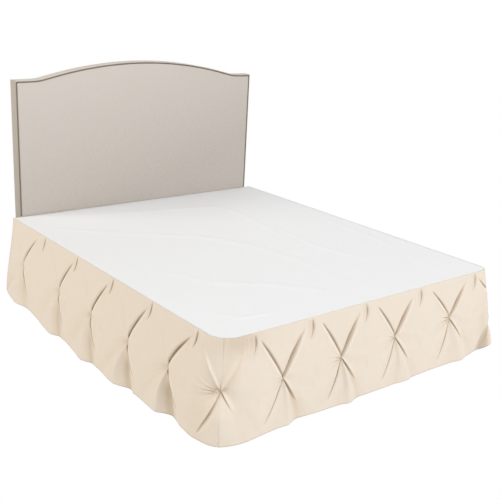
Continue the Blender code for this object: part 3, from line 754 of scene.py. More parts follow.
@dataclass(frozen=True)
class Drape(Hang):
    """The folds of the hanging cloth, as its distance outside the seam."""

    creases: Creases = Creases()
    tucks: Tucks = Tucks()
    flare: Flare = Flare()
    small_folds: SmallFolds = SmallFolds()
    standoff: float = 0.0028
    crease_top_fade: float = 0.12
    crease_side_fade: int = 4
    small_top_fade: float = 0.15
    pinch_dip: float = 0.012
    pinch_radius: float = 0.030
    dip_bend: float = 1.3
    pillow: float = 0.007
    pillow_reach: float = 0.12
    yoke_puff: float = 0.007
    puff_bend: float = 0.8
    puff_top_fade: float = 0.22
    end_ease: float = 0.12
    hem_shade: float = 0.35
    hem_shade_height: float = 0.007
    corner_shade: float = 0.26
    corner_shade_place: float = 0.16
    corner_shade_width: float = 0.11
    corner_shade_from: float = 0.33
    corner_shade_fade: float = 0.10
    least_shade: float = 0.02

    def next_tuck(self, pleat: np.ndarray) -> np.ndarray:
        """Return s of the tuck after a pleat's pinch."""
        return np.append(TUCK[1:], self.end)[pleat]

    def away(self, at: Spots) -> np.ndarray:
        """Return how far from the pinch line places are, from 0 there to 1 at the tuck."""
        half = np.where(at.side < 0, PINCH[at.pleat] - TUCK[at.pleat],
                        self.next_tuck(at.pleat) - PINCH[at.pleat])
        return np.minimum(1.0, np.abs(at.x) / half)

    def puffs(self, at: Spots, fall: np.ndarray) -> np.ndarray:
        """Swell the cloth above the pinches and between them.

        Args:
            at: places on the cloth.
            fall: how far down they are, from 0 at the top to 1 at the hem.

        Returns:
            Distances outwards.
        """
        pinch_height = np.interp(at.s, PINCH, HEIGHT)
        yoke = np.clip((at.z - pinch_height) / (self.top - pinch_height), 0.0, 1.0)
        inside = smooth(at.s / self.end_ease) * smooth((self.end - at.s) / self.end_ease)
        pillow = hump(at.z - pinch_height, self.pillow_reach)
        pillow = pillow * np.sin(math.pi / 2 * self.away(at)) ** 2
        pillow = self.pillow * pillow * smooth(fall / self.puff_top_fade)
        return (self.yoke_puff * np.sin(math.pi * yoke) ** self.puff_bend + pillow) * inside

    def outside(self, at: Spots) -> tuple[np.ndarray, np.ndarray, np.ndarray]:
        """Find how far the cloth's outer face stands outside the seam.

        Args:
            at: places on the cloth.

        Returns:
            The distance outwards, the shift along the seam and the shade of the folds.
        """
        fall = (self.top - at.z) / (self.top - self.hem)
        out = self.flare.out(at) + self.puffs(at, fall)
        cut, lap, shade = self.creases.parts(at)
        fade = (1 - self.away(at) ** self.crease_side_fade) * smooth(fall / self.crease_top_fade)
        distance = np.hypot(at.x, at.z - at.height) / self.pinch_radius
        out = out - cut * fade
        out = out - self.pinch_dip * DIP[at.pleat] * np.exp(-distance ** self.dip_bend)
        out = out + self.flare.cones(at)
        small, small_shade = self.small_folds.fold(at)
        tucks, tuck_shade = self.tucks.fold(at.s, at.z)
        out = out + small * smooth(fall / self.small_top_fade) + tucks
        out = np.maximum(self.standoff, self.standoff + out)
        corner = hump(at.s - self.seam.ends()[0] - self.corner_shade_place,
                      self.corner_shade_width)
        corner = corner * smooth((at.z - self.corner_shade_from) / self.corner_shade_fade)
        hem = 1 - smooth((at.z - self.hem) / self.hem_shade_height)
        shade = shade * fade + self.corner_shade * corner + self.hem_shade * hem
        deepest = np.maximum(np.maximum(shade, tuck_shade), small_shade)
        shade = np.where(tuck_shade + small_shade > self.least_shade, deepest, shade)
        return out, -at.side * lap * fade, shade


@dataclass(frozen=True)
class DropGrid:
    """The columns and rows of a drop's mesh, which follow its creases and tucks."""

    drape: Drape = Drape()
    to_inner: int = 8
    inner_wall: int = 6
    outer_wall: int = 6
    open_cloth: int = 13
    narrowest: float = 0.004
    tuck_side: float = 0.020
    inner_share: float = 0.8
    outer_share: float = 1.1
    outer_limit: float = 0.4
    inner_bend: float = 1.3
    outer_bend: float = 1.2
    open_bend: float = 1.4
    upper_rows: int = 33
    upper_end: float = 0.27
    middle_rows: int = 24
    middle_end: float = 0.18
    lower_rows: int = 26
    turn_up: tuple[float, ...] = (0.032, 0.030, 0.028, 0.022, 0.016, 0.010, 0.0065)
    top_inset: float = 0.0036
    roll_radius: float = 0.0032
    roll_turn: float = 150.0
    roll_steps: int = 6
    tuck_offsets: tuple[float, ...] = (-0.013, -0.008, -0.0045, -0.002, -0.0006, 0.0006,
                                       0.0016, 0.0030, 0.0055, 0.009, 0.014)

    def heights(self) -> np.ndarray:
        """List the heights of the rows.

        Returns:
            The heights, from the top down.
        """
        ends = (self.drape.top - self.top_inset, self.upper_end, self.middle_end, self.turn_up[0])
        counts = (self.upper_rows, self.middle_rows, self.lower_rows)
        bands = [np.linspace(high, low, count, endpoint=False)
                 for high, low, count in zip(ends, ends[1:], counts)]
        return np.concatenate([*bands, self.turn_up, [self.drape.hem]])

    def half_columns(self, pleat: int, side: int, z: np.ndarray) -> np.ndarray:
        """Place the columns of one side of a pinch, from the pinch line to beside the tuck.

        Args:
            pleat: the pleat's number.
            side: -1 or 1.
            z: heights of the rows.

        Returns:
            Distances from the pinch line, one row for each height.
        """
        drape = self.drape
        at = Spots(np.full(z.shape, pleat), np.full(z.shape, side), z)
        half = PINCH[pleat] - TUCK[pleat] if side < 0 else drape.next_tuck(pleat) - PINCH[pleat]
        whole = (pleat == 0 and side < 0) or (pleat == len(PLEATS) - 1 and side > 0)
        beside = half if whole else half - self.tuck_side
        crease = np.clip(drape.creases.place(at), 2 * self.narrowest, half - 2 * self.tuck_side)
        inner = np.maximum(self.narrowest, crease - self.inner_share * at.of_crease("inner_reach"))
        outer = crease + self.outer_share * at.of_crease("outer_reach")
        outer = np.minimum(outer, mix(crease, half, self.outer_limit))
        inner, crease, outer = inner[:, None], crease[:, None], outer[:, None]
        first, second, third = (np.arange(count) / count for count in (
            self.to_inner, self.inner_wall, self.outer_wall))
        last = np.arange(self.open_cloth + 1) / self.open_cloth
        return np.concatenate([
            mix(0.0, inner, first),
            mix(inner, crease, 1 - (1 - second) ** self.inner_bend),
            mix(crease, outer, third ** self.outer_bend),
            mix(outer, beside, last ** self.open_bend)], axis=1)

    def columns(self, start: int, end: int, z: np.ndarray) -> Spots:
        """Place the columns between two seams of the drops.

        Args:
            start: the pleat whose pinch line starts the drop, or -1 for the bed's head end.
            end: the pleat whose pinch line ends it, or the number of pleats for the head end.
            z: heights of the rows.

        Returns:
            The places of the drop's vertices, one row for each height.
        """
        runs = []
        offsets = np.array(self.tuck_offsets)
        near = 1 - np.abs(offsets) / self.tuck_side
        for pleat in range(max(0, start), min(end, len(PLEATS) - 1) + 1):
            if pleat > start:
                left = PINCH[pleat] - self.half_columns(pleat, -1, z)[:, :0:-1]
                runs.append((left, [pleat] * left.shape[1], [-1] * left.shape[1]))
            if pleat == end:
                runs.append((np.full((len(z), 1), PINCH[pleat]), [pleat], [-1]))
                break
            right = PINCH[pleat] + self.half_columns(pleat, 1, z)
            runs.append((right, [pleat] * right.shape[1], [1] * right.shape[1]))
            if pleat + 1 < len(PLEATS):
                tuck = TUCK[pleat + 1]
                shift = self.drape.tucks.line(np.full(z.shape, tuck), z) - tuck
                runs.append((tuck + offsets[None, :] + shift[:, None] * near,
                             np.where(offsets < 0, pleat, pleat + 1),
                             np.where(offsets < 0, 1, -1)))
        s, numbers, sides = (np.concatenate(parts, axis=-1) for parts in zip(*runs))
        return Spots(np.broadcast_to(numbers, s.shape), np.broadcast_to(sides, s.shape),
                     np.broadcast_to(z[:, None], s.shape), s)


@dataclass
class Drop:
    """One hanging drop of the skirt, with its rolled top edge, down to its hem."""

    name: str
    node: str
    start: int
    end: int
    flat: tuple[float, float]
    grid: DropGrid = DropGrid()
    thickness: float = 0.0012
    side_gap: float = 0.0002
    upper_gap: float = 0.00005
    hollow_step: float = 0.004
    hollow_reach: float = 0.075
    hollow_span: int = 3
    hollow_depth: float = 0.020
    hollow_shade: float = 0.50

    def hollows(self, s: np.ndarray, out: np.ndarray) -> np.ndarray:
        """Shade the cloth where it lies behind the cloth around it.

        Args:
            s: places along the seam, one row for each height.
            out: the cloth's distances outwards.

        Returns:
            The shade, from 0 on the crests.
        """
        even = np.arange(s.min(), s.max(), self.hollow_step)
        span = self.hollow_span * self.hollow_reach
        weights = hump(np.arange(-span, span, self.hollow_step), self.hollow_reach)
        edge = len(weights) // 2
        shade = np.zeros(s.shape)
        for row in range(len(s)):
            order = np.argsort(s[row])
            line = np.pad(np.interp(even, s[row][order], out[row][order]), edge, mode="reflect")
            around = np.convolve(line, weights / weights.sum(), mode="same")
            shade[row] = np.interp(s[row], even, around[edge:edge + len(even)]) - out[row]
        return self.hollow_shade * np.clip(shade / self.hollow_depth, 0.0, 1.0)

    def build(self) -> bpy.types.Object:
        """Build the drop's cloth.

        Returns:
            The piece, with its UV map in metres and its fold_shade attribute.
        """
        grid, drape = self.grid, self.grid.drape
        at = grid.columns(self.start, self.end, grid.heights())
        out, shift, shade = drape.outside(at)
        first = 0.0 if self.start < 0 else PINCH[self.start]
        last = drape.end if self.end >= len(PLEATS) else PINCH[self.end]
        gap = np.where(at.z > np.interp(at.s, PINCH, HEIGHT), self.upper_gap, self.side_gap)
        gap = gap / (1 + out / drape.seam.left_radius)
        place = np.clip(at.s + shift, first + gap, last - gap)
        turns = np.radians(np.linspace(grid.roll_turn, 0.0, grid.roll_steps, endpoint=False))
        turns = np.broadcast_to(turns[:, None], (len(turns), out.shape[1]))
        height = np.concatenate([at.z[0] + grid.roll_radius * np.sin(turns), at.z])
        out = np.concatenate([out[0] + grid.roll_radius * (np.cos(turns) - 1), out])
        place, flat_s, shade = (
            np.concatenate([np.broadcast_to(rows[0], turns.shape), rows])
            for rows in (place, at.s, shade))
        shade = shade + self.hollows(flat_s, out)
        x, y, out_x, out_y = drape.seam.at(place)
        points = np.stack([x + out_x * out, y + out_y * out, height], axis=-1)
        piece = new_mesh(self.name, points.reshape(-1, 3), grid_faces(*height.shape))
        add_uv(piece, np.stack([flat_s, height], axis=-1).reshape(-1, 2))
        add_attribute(piece, "fold_shade", shade)
        thicken(piece, self.thickness)
        return piece


@dataclass
class Skirt:
    """The bed skirt: the deck sheet and its three drops."""

    deck_flat: tuple[float, float] = (1.86, 2.16)
    drops: tuple[Drop, ...] = (
        Drop("drop_left_cloth", "drop_left", -1, LEFT_CORNER_PLEAT, (2.44, 0.50)),
        Drop("drop_foot_cloth", "drop_foot", LEFT_CORNER_PLEAT, RIGHT_CORNER_PLEAT, (2.14, 0.50)),
        Drop("drop_right_cloth", "drop_right", RIGHT_CORNER_PLEAT, len(PLEATS), (2.44, 0.50)),
    )

    def build(self, cream: bpy.types.Material, white: bpy.types.Material) -> None:
        """Args:
            cream: the drops' cloth.
            white: the deck's cloth.
        """
        deck = DeckSheet().build()
        declare(deck, "deck", white)
        for drop in self.drops:
            piece = drop.build()
            declare(piece, drop.node, cream)


@dataclass(frozen=True)
class SoftRidge:
    """A low soft ridge in the deck sheet along a line of points."""

    line: tuple[tuple[float, float], ...]
    height: float
    width: float
    roundness: float = 0.6
    far: float = 9.0

    def rise(self, x: np.ndarray, y: np.ndarray) -> np.ndarray:
        """Find how far the ridge lifts the cloth.

        Args:
            x: places across the bed.
            y: places along the bed.

        Returns:
            The rise at each place.
        """
        best, along = np.full(x.shape, self.far), np.zeros(x.shape)
        count = len(self.line) - 1
        for number, ((x0, y0), (x1, y1)) in enumerate(zip(self.line, self.line[1:])):
            run = (x1 - x0) ** 2 + (y1 - y0) ** 2
            t = np.clip(((x - x0) * (x1 - x0) + (y - y0) * (y1 - y0)) / run, 0.0, 1.0)
            distance = np.hypot(x - x0 - t * (x1 - x0), y - y0 - t * (y1 - y0))
            nearer = distance < best
            best = np.where(nearer, distance, best)
            along = np.where(nearer, (number + t) / count, along)
        return self.height * np.sin(math.pi * along) ** self.roundness * hump(best, self.width)


@dataclass(frozen=True)
class DeckSheet:
    """The flat white sheet between the drops, laid over the box spring."""

    seam: Seam = Seam()
    top: float = 0.4568
    inset: float = 0.003
    thickness: float = 0.001
    rows: int = 170
    row_bend: float = 1.25
    columns: int = 150
    edge_dip: float = 0.0006
    edge_width: float = 0.010
    ridge_fade: float = 0.03
    ridges: tuple[SoftRidge, ...] = (
        SoftRidge(((-.93, .85), (-.60, .55), (-.14, .19), (.02, -.08), (.09, -.43), (.07, -.95)),
                  0.0035, 0.026),
        SoftRidge(((-.73, -.09), (-.60, -.31), (-.53, -.47), (-.28, -.66), (-.13, -.83),
                   (-.10, -1.01)), 0.003, 0.024),
        SoftRidge(((-.59, .96), (-.17, .82), (.32, .71), (.39, .53), (.32, .05), (.27, -.33)),
                  0.004, 0.020),
        SoftRidge(((.81, .31), (.77, -.39), (.63, -1.03)), 0.004, 0.018),
        SoftRidge(((-.79, -.74), (-.69, -.91), (-.51, -.93)), 0.0035, 0.012),
        SoftRidge(((.39, .26), (.35, -.31), (.46, -.68)), 0.004, 0.018),
        SoftRidge(((.90, .17), (.88, -.45), (.76, -.85)), 0.0035, 0.010),
    )

    def side_reach(self, y: np.ndarray, radius: float) -> np.ndarray:
        """Find how far a rounded corner draws the sheet's side in.

        Args:
            y: places along the bed.
            radius: the corner's radius.

        Returns:
            Distances inwards.
        """
        inner = radius - self.inset
        into = np.clip(radius - (y + self.seam.length / 2), 0.0, inner)
        return inner - np.sqrt(np.maximum(0.0, inner ** 2 - into ** 2))

    def build(self) -> bpy.types.Object:
        """Build the deck sheet with its soft ridges.

        Returns:
            The piece, with its UV map in metres.
        """
        half, edge = self.seam.length / 2 - self.inset, self.seam.width / 2 - self.inset
        down = np.linspace(0.0, 1.0, self.rows)[:, None]
        y = half - 2 * half * (1 - (1 - down) ** self.row_bend)
        left = -edge + self.side_reach(y, self.seam.left_radius)
        right = edge - self.side_reach(y, self.seam.right_radius)
        x = mix(left, right, np.linspace(0.0, 1.0, self.columns))
        y = np.broadcast_to(y, x.shape)
        to_edge = np.minimum(edge - np.abs(x), half - np.abs(y))
        z = self.top - self.edge_dip * (1 - smooth(to_edge / self.edge_width))
        for ridge in self.ridges:
            z = z + ridge.rise(x, y) * smooth(to_edge / self.ridge_fade)
        points = np.stack([x, y, z], axis=-1).reshape(-1, 3)
        piece = new_mesh("deck_cloth", points, grid_faces(*x.shape))
        add_uv(piece, points[:, :2])
        thicken(piece, self.thickness)
        return piece


# ---- the bed under it -----------------------------------------------------------------------

@dataclass(frozen=True)
class BoxSpring:
    """The plain covered box spring, with softly rounded edges."""

    seam: Seam = Seam()
    clearance: float = 0.004
    top: float = 0.4547
    bottom: float = 0.2261
    edge: float = 0.010
    edge_steps: int = 4
    side_steps: int = 10
    bulge: float = 0.0015
    run_steps: int = 12
    arc_steps: int = 10
    smooth_angle: float = 40.0

    def outline(self, inset: float) -> np.ndarray:
        """Trace the box spring's outline.

        Args:
            inset: how far it is drawn in from the seam.

        Returns:
            x and y of its points.
        """
        ends = (0.0, *self.seam.ends())
        counts = (self.run_steps, self.arc_steps, self.run_steps, self.arc_steps, self.run_steps)
        runs = [np.linspace(start, end, count, endpoint=False)
                for start, end, count in zip(ends, ends[1:], counts)]
        x, y, out_x, out_y = self.seam.at(np.concatenate([*runs, ends[-1:]]))
        points = np.stack([x - out_x * inset, y - out_y * inset], axis=1)
        points[[0, -1], 1] -= inset
        return points

    def rings(self) -> list[tuple[float, float]]:
        """List the inset and height of each ring from the bottom to the top.

        Returns:
            One pair for each ring.
        """
        turns = np.linspace(0.0, math.pi / 2, self.edge_steps + 1)
        edges = [(self.clearance + self.edge * (1 - math.sin(turn)),
                  self.edge * (1 - math.cos(turn))) for turn in turns]
        shares = [step / self.side_steps for step in range(1, self.side_steps)]
        low, high = self.bottom + self.edge, self.top - self.edge
        return ([(inset, self.bottom + rise) for inset, rise in edges]
                + [(self.clearance - self.bulge * math.sin(math.pi * share),
                    mix(low, high, share)) for share in shares]
                + [(inset, self.top - rise) for inset, rise in reversed(edges)])

    def build(self) -> bpy.types.Object:
        """Build the covered box.

        Returns:
            The piece.
        """
        rings = self.rings()
        loops = [self.outline(inset) for inset, _ in rings]
        count = len(loops[0])
        points = [(x, y, z) for loop, (_, z) in zip(loops, rings) for x, y in loop]
        faces = [[ring + place, ring + (place + 1) % count,
                  ring + count + (place + 1) % count, ring + count + place]
                 for ring in range(0, (len(rings) - 1) * count, count) for place in range(count)]
        faces += [list(range(count))[::-1], list(range(len(points) - count, len(points)))]
        piece = new_mesh("box_spring_cover", points, faces)
        smooth_by_angle(piece, self.smooth_angle)
        return piece


@dataclass(frozen=True)
class Headboard:
    """The upholstered panel: a closed padded form under linen."""

    width: float = 1.745
    bottom: float = 0.30
    shoulder: float = 1.280
    crown_height: float = 1.380
    arch_half_width: float = 0.72
    arch_ease: float = 0.10
    front: float = 1.0673
    back: float = 1.1393
    edge: float = 0.004
    crown: float = 0.003
    crown_reach: float = 0.10
    nail_line: float = 0.0095
    nail_dip: float = 0.0010
    nail_dip_width: float = 0.006
    nail_start: float = 0.44
    nail_fade: float = 0.03
    nail_low: float = 0.467
    nail_samples: int = 400
    columns: int = 120
    rows: int = 90
    near: tuple[float, ...] = (0.0, 0.0006, 0.0013, 0.0022, 0.0034, 0.005, 0.007, 0.0095, 0.012,
                               0.015, 0.020, 0.028, 0.040, 0.060)

    def top_at(self, x: np.ndarray) -> np.ndarray:
        """Find the panel's height: a shallow arch that eases into flat shoulders.

        Args:
            x: places across the panel.

        Returns:
            The height of its top edge at each place.
        """
        sagitta = self.crown_height - self.shoulder
        radius = (self.arch_half_width ** 2 + sagitta ** 2) / (2 * sagitta)
        arch = np.sqrt(radius ** 2 - x ** 2) - (radius - sagitta)
        ease = sagitta * self.arch_ease
        return self.shoulder + (arch + np.sqrt(arch ** 2 + ease ** 2)) / 2 - ease / 4

    def spread(self, length: float, count: int) -> np.ndarray:
        """Place grid lines over a length, close together near both ends.

        Args:
            length: the length.
            count: how many lines.

        Returns:
            Their places.
        """
        near = np.array(self.near)
        middle = np.linspace(near[-1], length - near[-1], count - 2 * len(near) + 2)[1:-1]
        return np.concatenate([near, middle, length - near[::-1]])

    def build(self) -> bpy.types.Object:
        """Build the padded panel.

        Returns:
            The piece.
        """
        x = self.spread(self.width, self.columns) - self.width / 2
        share = self.spread(1.0, self.rows)[:, None]
        x = np.broadcast_to(x, (len(share), len(x)))
        top = self.top_at(x)
        z = mix(self.bottom, top, share)
        to_edge = np.minimum(self.width / 2 - np.abs(x), np.minimum(top - z, z - self.bottom))
        round_over = np.clip(1 - to_edge / self.edge, 0.0, 1.0)
        set_back = self.edge * (1 - np.sqrt(np.maximum(0.0, 1 - round_over ** 2)))
        nails = self.nail_dip * hump(to_edge - self.nail_line, self.nail_dip_width)
        nails = nails * smooth((z - self.nail_start) / self.nail_fade)
        crown = self.crown * smooth(to_edge / self.crown_reach)
        points = np.concatenate([np.stack([x, y, z], -1).reshape(-1, 3) for y in (
            self.front + set_back + nails - crown, self.back - set_back)])
        faces = grid_faces(*x.shape)
        number = np.arange(x.size).reshape(x.shape)
        rim = np.concatenate([number[0, :], number[1:, -1], number[-1, -2::-1],
                              number[-2:0:-1, 0]])
        after = np.roll(rim, -1)
        sides = np.stack([rim, rim + x.size, after + x.size, after], axis=1)
        return new_mesh("headboard_upholstery", points,
                        np.concatenate([faces[:, ::-1], faces + x.size, sides]))

    def nail_points(self, pitch: float) -> np.ndarray:
        """Space the nails along the sides and top.

        Args:
            pitch: the distance between nails.

        Returns:
            x and z of each nail.
        """
        half = self.width / 2 - self.nail_line
        x = np.linspace(-half, half, self.nail_samples)
        top = self.top_at(x)
        z = top - self.nail_line * np.hypot(1.0, np.gradient(top, x))
        x = np.concatenate([[-half], x, [half]])
        z = np.concatenate([[self.nail_low], z, [self.nail_low]])
        run = np.concatenate([[0.0], np.cumsum(np.hypot(np.diff(x), np.diff(z)))])
        at = np.linspace(0.0, run[-1], round(run[-1] / pitch) + 1)
        return np.stack([np.interp(at, run, x), np.interp(at, run, z)], axis=1)


@dataclass(frozen=True)
class NailRow:
    """The row of domed nails along the headboard's edge."""

    board: Headboard = Headboard()
    pitch: float = 0.0130
    radius: float = 0.0055
    rise: float = 0.0030
    sink: float = 0.0004
    segments: int = 10
    rings: int = 6
    cut: float = 1e-5
    smooth_angle: float = 50.0

    def dome(self) -> bpy.types.Object:
        """Model one nail head at the origin.

        Returns:
            The nail, which faces the foot of the bed.
        """
        bpy.ops.object.select_all(action="DESELECT")
        bpy.ops.mesh.primitive_uv_sphere_add(segments=self.segments, ring_count=self.rings,
                                             radius=self.radius)
        nail = bpy.context.active_object
        bpy.ops.object.mode_set(mode="EDIT")
        bpy.ops.mesh.select_all(action="SELECT")
        bpy.ops.mesh.bisect(plane_co=(0, 0, -self.cut), plane_no=(0, 0, 1), clear_inner=True,
                            use_fill=True)
        bpy.ops.mesh.select_all(action="SELECT")
        bpy.ops.transform.resize(value=(1, 1, self.rise / self.radius),
                                 center_override=(0, 0, 0))
        bpy.ops.transform.rotate(value=-math.pi / 2, orient_axis="X",
                                 center_override=(0, 0, 0))
        bpy.ops.mesh.normals_make_consistent(inside=False)
        bpy.ops.object.mode_set(mode="OBJECT")
        if max(vertex.co.y for vertex in nail.data.vertices) > self.rise / 2:
            nail.data.transform(Matrix.Rotation(math.pi, 4, "Z"))
        return nail

    def build(self) -> bpy.types.Object:
        """Set the whole row of nails.

        Returns:
            The piece.
        """
        nail = self.dome()
        shape = np.array([vertex.co[:] for vertex in nail.data.vertices])
        faces = [list(face.vertices) for face in nail.data.polygons]
        # Bisect leaves the faces in no fixed order, so they are given one here.
        lowest = [face.index(min(face)) for face in faces]
        faces = sorted(face[first:] + face[:first] for face, first in zip(faces, lowest))
        places = [(x, self.board.front + self.sink, z)
                  for x, z in self.board.nail_points(self.pitch)]
        points = np.concatenate([shape + place for place in places])
        row = new_mesh("nail_row", points, [
            [start + index for index in face]
            for start in range(0, len(points), len(shape)) for face in faces])
        bpy.data.objects.remove(nail, do_unlink=True)
        smooth_by_angle(row, self.smooth_angle)
        return row


# ---- finishes -------------------------------------------------------------------------------

Colour = tuple[float, float, float]
Scales = tuple[float, float, float]


class Nodes:
    """A small builder for a material's nodes."""

    def __init__(self, slot: Slot, roughness: float, sheen: float = 0.0) -> None:
        """Start a material with its shader.

        Args:
            slot: the record's slot, which names the material.
            roughness: the shader's roughness.
            sheen: the weight of the cloth's sheen.
        """
        self.material = bpy.data.materials.new(slot.value)
        self.material.use_nodes = True
        self.tree = self.material.node_tree
        self.shader = self.tree.nodes["Principled BSDF"]
        self.shader.inputs["Roughness"].default_value = roughness
        self.shader.inputs["Sheen Weight"].default_value = sheen

    def add(self, kind: str, **values: object) -> bpy.types.Node:
        """Add a node and set its inputs by name.

        Args:
            kind: the node's type.
            **values: property or input values; an output socket is linked.

        Returns:
            The new node.
        """
        node = self.tree.nodes.new(kind)
        for key, value in values.items():
            if hasattr(node, key) and key not in node.inputs:
                setattr(node, key, value)
            else:
                self.set(node, key, value)
        return node

    def set(self, node: bpy.types.Node, name: str | int, value: object) -> None:
        """Set or link one input of a node.

        Args:
            node: the node.
            name: the input's name or number.
            value: its value, or an output socket to link.
        """
        if isinstance(value, bpy.types.NodeSocket):
            self.tree.links.new(value, node.inputs[name])
        else:
            node.inputs[name].default_value = value

    def colour(self, value: bpy.types.NodeSocket) -> None:
        """Link the shader's colour."""
        self.set(self.shader, "Base Color", value)

    def object_place(self) -> tuple[bpy.types.NodeSocket, list[bpy.types.NodeSocket]]:
        """Return the place on the piece in metres, whole and as x, y and z."""
        return self.split(self.add("ShaderNodeTexCoord").outputs["Object"])

    def cloth_place(self) -> tuple[bpy.types.NodeSocket, list[bpy.types.NodeSocket]]:
        """Return the place on the flat cloth in metres, whole and as u and v."""
        return self.split(self.add("ShaderNodeUVMap", uv_map="cloth_metres").outputs[0])

    def split(self, place: bpy.types.NodeSocket
              ) -> tuple[bpy.types.NodeSocket, list[bpy.types.NodeSocket]]:
        """Return a vector and its parts."""
        return place, list(self.add("ShaderNodeSeparateXYZ", Vector=place).outputs)

    def math(self, operation: str, *values: object) -> bpy.types.NodeSocket:
        """Add a maths node.

        Args:
            operation: what it works out.
            *values: numbers or sockets.

        Returns:
            Its output.
        """
        node = self.tree.nodes.new("ShaderNodeMath")
        node.operation = operation
        for index, value in enumerate(values):
            self.set(node, index, value)
        return node.outputs[0]

    def ramp(self, value: bpy.types.NodeSocket, start: float, gain: float) -> bpy.types.NodeSocket:
        """Return (value - start) * gain, held between 0 and 1."""
        value = self.math("MULTIPLY", self.math("SUBTRACT", value, start), gain)
        return self.math("MINIMUM", self.math("MAXIMUM", value, 0.0), 1.0)

    def mix(self, factor: object, low: object, high: object) -> bpy.types.NodeSocket:
        """Blend two colours.

        Args:
            factor: a share or socket, 0 for the first colour and 1 for the second.
            low: a colour or socket.
            high: a colour or socket.

        Returns:
            The blend.
        """
        node = self.tree.nodes.new("ShaderNodeMix")
        node.data_type = "RGBA"
        for index, value in ((0, factor), (6, low), (7, high)):
            self.set(node, index, (*value, 1.0) if isinstance(value, tuple) else value)
        return node.outputs[2]

    def noise(self, vector: bpy.types.NodeSocket, scale: float | Scales,
              detail: float = 2.0) -> bpy.types.NodeSocket:
        """Add a noise texture.

        Args:
            vector: where it is read.
            scale: its scale, or one for each direction.
            detail: how many finer layers it has.

        Returns:
            Its value.
        """
        if isinstance(scale, tuple):
            stretch = self.add("ShaderNodeVectorMath", operation="MULTIPLY")
            self.set(stretch, 0, vector)
            self.set(stretch, 1, scale)
            vector, scale = stretch.outputs[0], 1.0
        node = self.add("ShaderNodeTexNoise", Vector=vector, Scale=scale, Detail=detail)
        return node.outputs["Fac"]

    def wave(self, coordinate: bpy.types.NodeSocket, pitch: float) -> bpy.types.NodeSocket:
        """Return a sine of a coordinate in metres with the given pitch."""
        return self.math("SINE", self.math("MULTIPLY", coordinate, 2 * math.pi / pitch))

    def weave(self, first: bpy.types.NodeSocket, second: bpy.types.NodeSocket,
              pitch: float) -> bpy.types.NodeSocket:
        """Return the height of a plain weave across two coordinates."""
        return self.math("ADD", self.wave(first, pitch), self.wave(second, pitch))

    def bump(self, height: bpy.types.NodeSocket, distance: float, strength: float) -> None:
        """Put a height in metres times distance on the shader's normal."""
        node = self.add("ShaderNodeBump", Height=height, Distance=distance, Strength=strength)
        self.set(self.shader, "Normal", node.outputs["Normal"])


def toned(colour: Colour, share: float) -> Colour:
    """Return a share of a colour."""
    return tuple(share * part for part in colour)


@dataclass(frozen=True)
class SkirtCotton:
    """Cream cotton: plain weave, faint mottling, painted warmer darker shade in folds, painted lip
    highlights.
    """

    colour: Colour = (0.875, 0.765, 0.635)
    # Painted shade for the folds, from a warmer tone to the deepest, and a painted highlight for
    # the crease lips.
    warm_painted_shade: Colour = (0.76, 0.625, 0.475)
    fold: Colour = (0.34, 0.255, 0.17)
    deep: Colour = (0.12, 0.08, 0.05)
    light: Colour = (0.985, 0.90, 0.78)
    mottle: float = 0.95
    mottle_scale: float = 24.0
    thread: float = 0.85
    thread_share: float = 0.12
    thread_scale: Scales = (900.0, 60.0, 1.0)
    thread_rise: float = 2.0
    pitch: float = 0.0008
    roughness: float = 0.9
    sheen: float = 0.15
    bump: tuple[float, float] = (0.00008, 0.6)

    def material(self) -> bpy.types.Material:
        """Make the material.

        Returns:
            The material, which reads the fold_shade attribute for its folds.
        """
        nodes = Nodes(Slot.CREAM, self.roughness, self.sheen)
        place, (u, v, _) = nodes.cloth_place()
        threads = nodes.noise(place, self.thread_scale)
        cloth = nodes.mix(nodes.noise(place, self.mottle_scale, 3.0), self.colour,
                          toned(self.colour, self.mottle))
        cloth = nodes.mix(nodes.math("MULTIPLY", threads, self.thread_share), cloth,
                          toned(self.colour, self.thread))
        shade = nodes.add("ShaderNodeAttribute", attribute_name="fold_shade").outputs["Fac"]
        # Each painted shade or highlight: the shade it starts at and how fast it grows from there.
        for tone, start, gain in ((self.warm_painted_shade, 0.0, 2.8), (self.fold, 0.15, 1.25),
                                  (self.light, 0.0, -1.0), (self.deep, 0.72, 3.4)):
            cloth = nodes.mix(nodes.ramp(shade, start, gain), cloth, tone)
        nodes.colour(cloth)
        weave = nodes.weave(u, v, self.pitch)
        weave = nodes.math("ADD", weave, nodes.math("MULTIPLY", threads, self.thread_rise))
        nodes.bump(weave, *self.bump)
        return nodes.material


@dataclass(frozen=True)
class DeckCloth:
    """Smooth white deck cloth with a fine weave and faint mottling."""

    colour: Colour = (0.945, 0.95, 0.955)
    mottle: float = 0.98
    mottle_scale: float = 5.0
    pitch: float = 0.0007
    roughness: float = 0.85
    bump: tuple[float, float] = (0.00005, 0.5)

    def material(self) -> bpy.types.Material:
        """Make the material.

        Returns:
            The material.
        """
        nodes = Nodes(Slot.DECK, self.roughness)
        place, (u, v, _) = nodes.cloth_place()
        nodes.colour(nodes.mix(nodes.noise(place, self.mottle_scale, 3.0), self.colour,
                               toned(self.colour, self.mottle)))
        nodes.bump(nodes.weave(u, v, self.pitch), *self.bump)
        return nodes.material


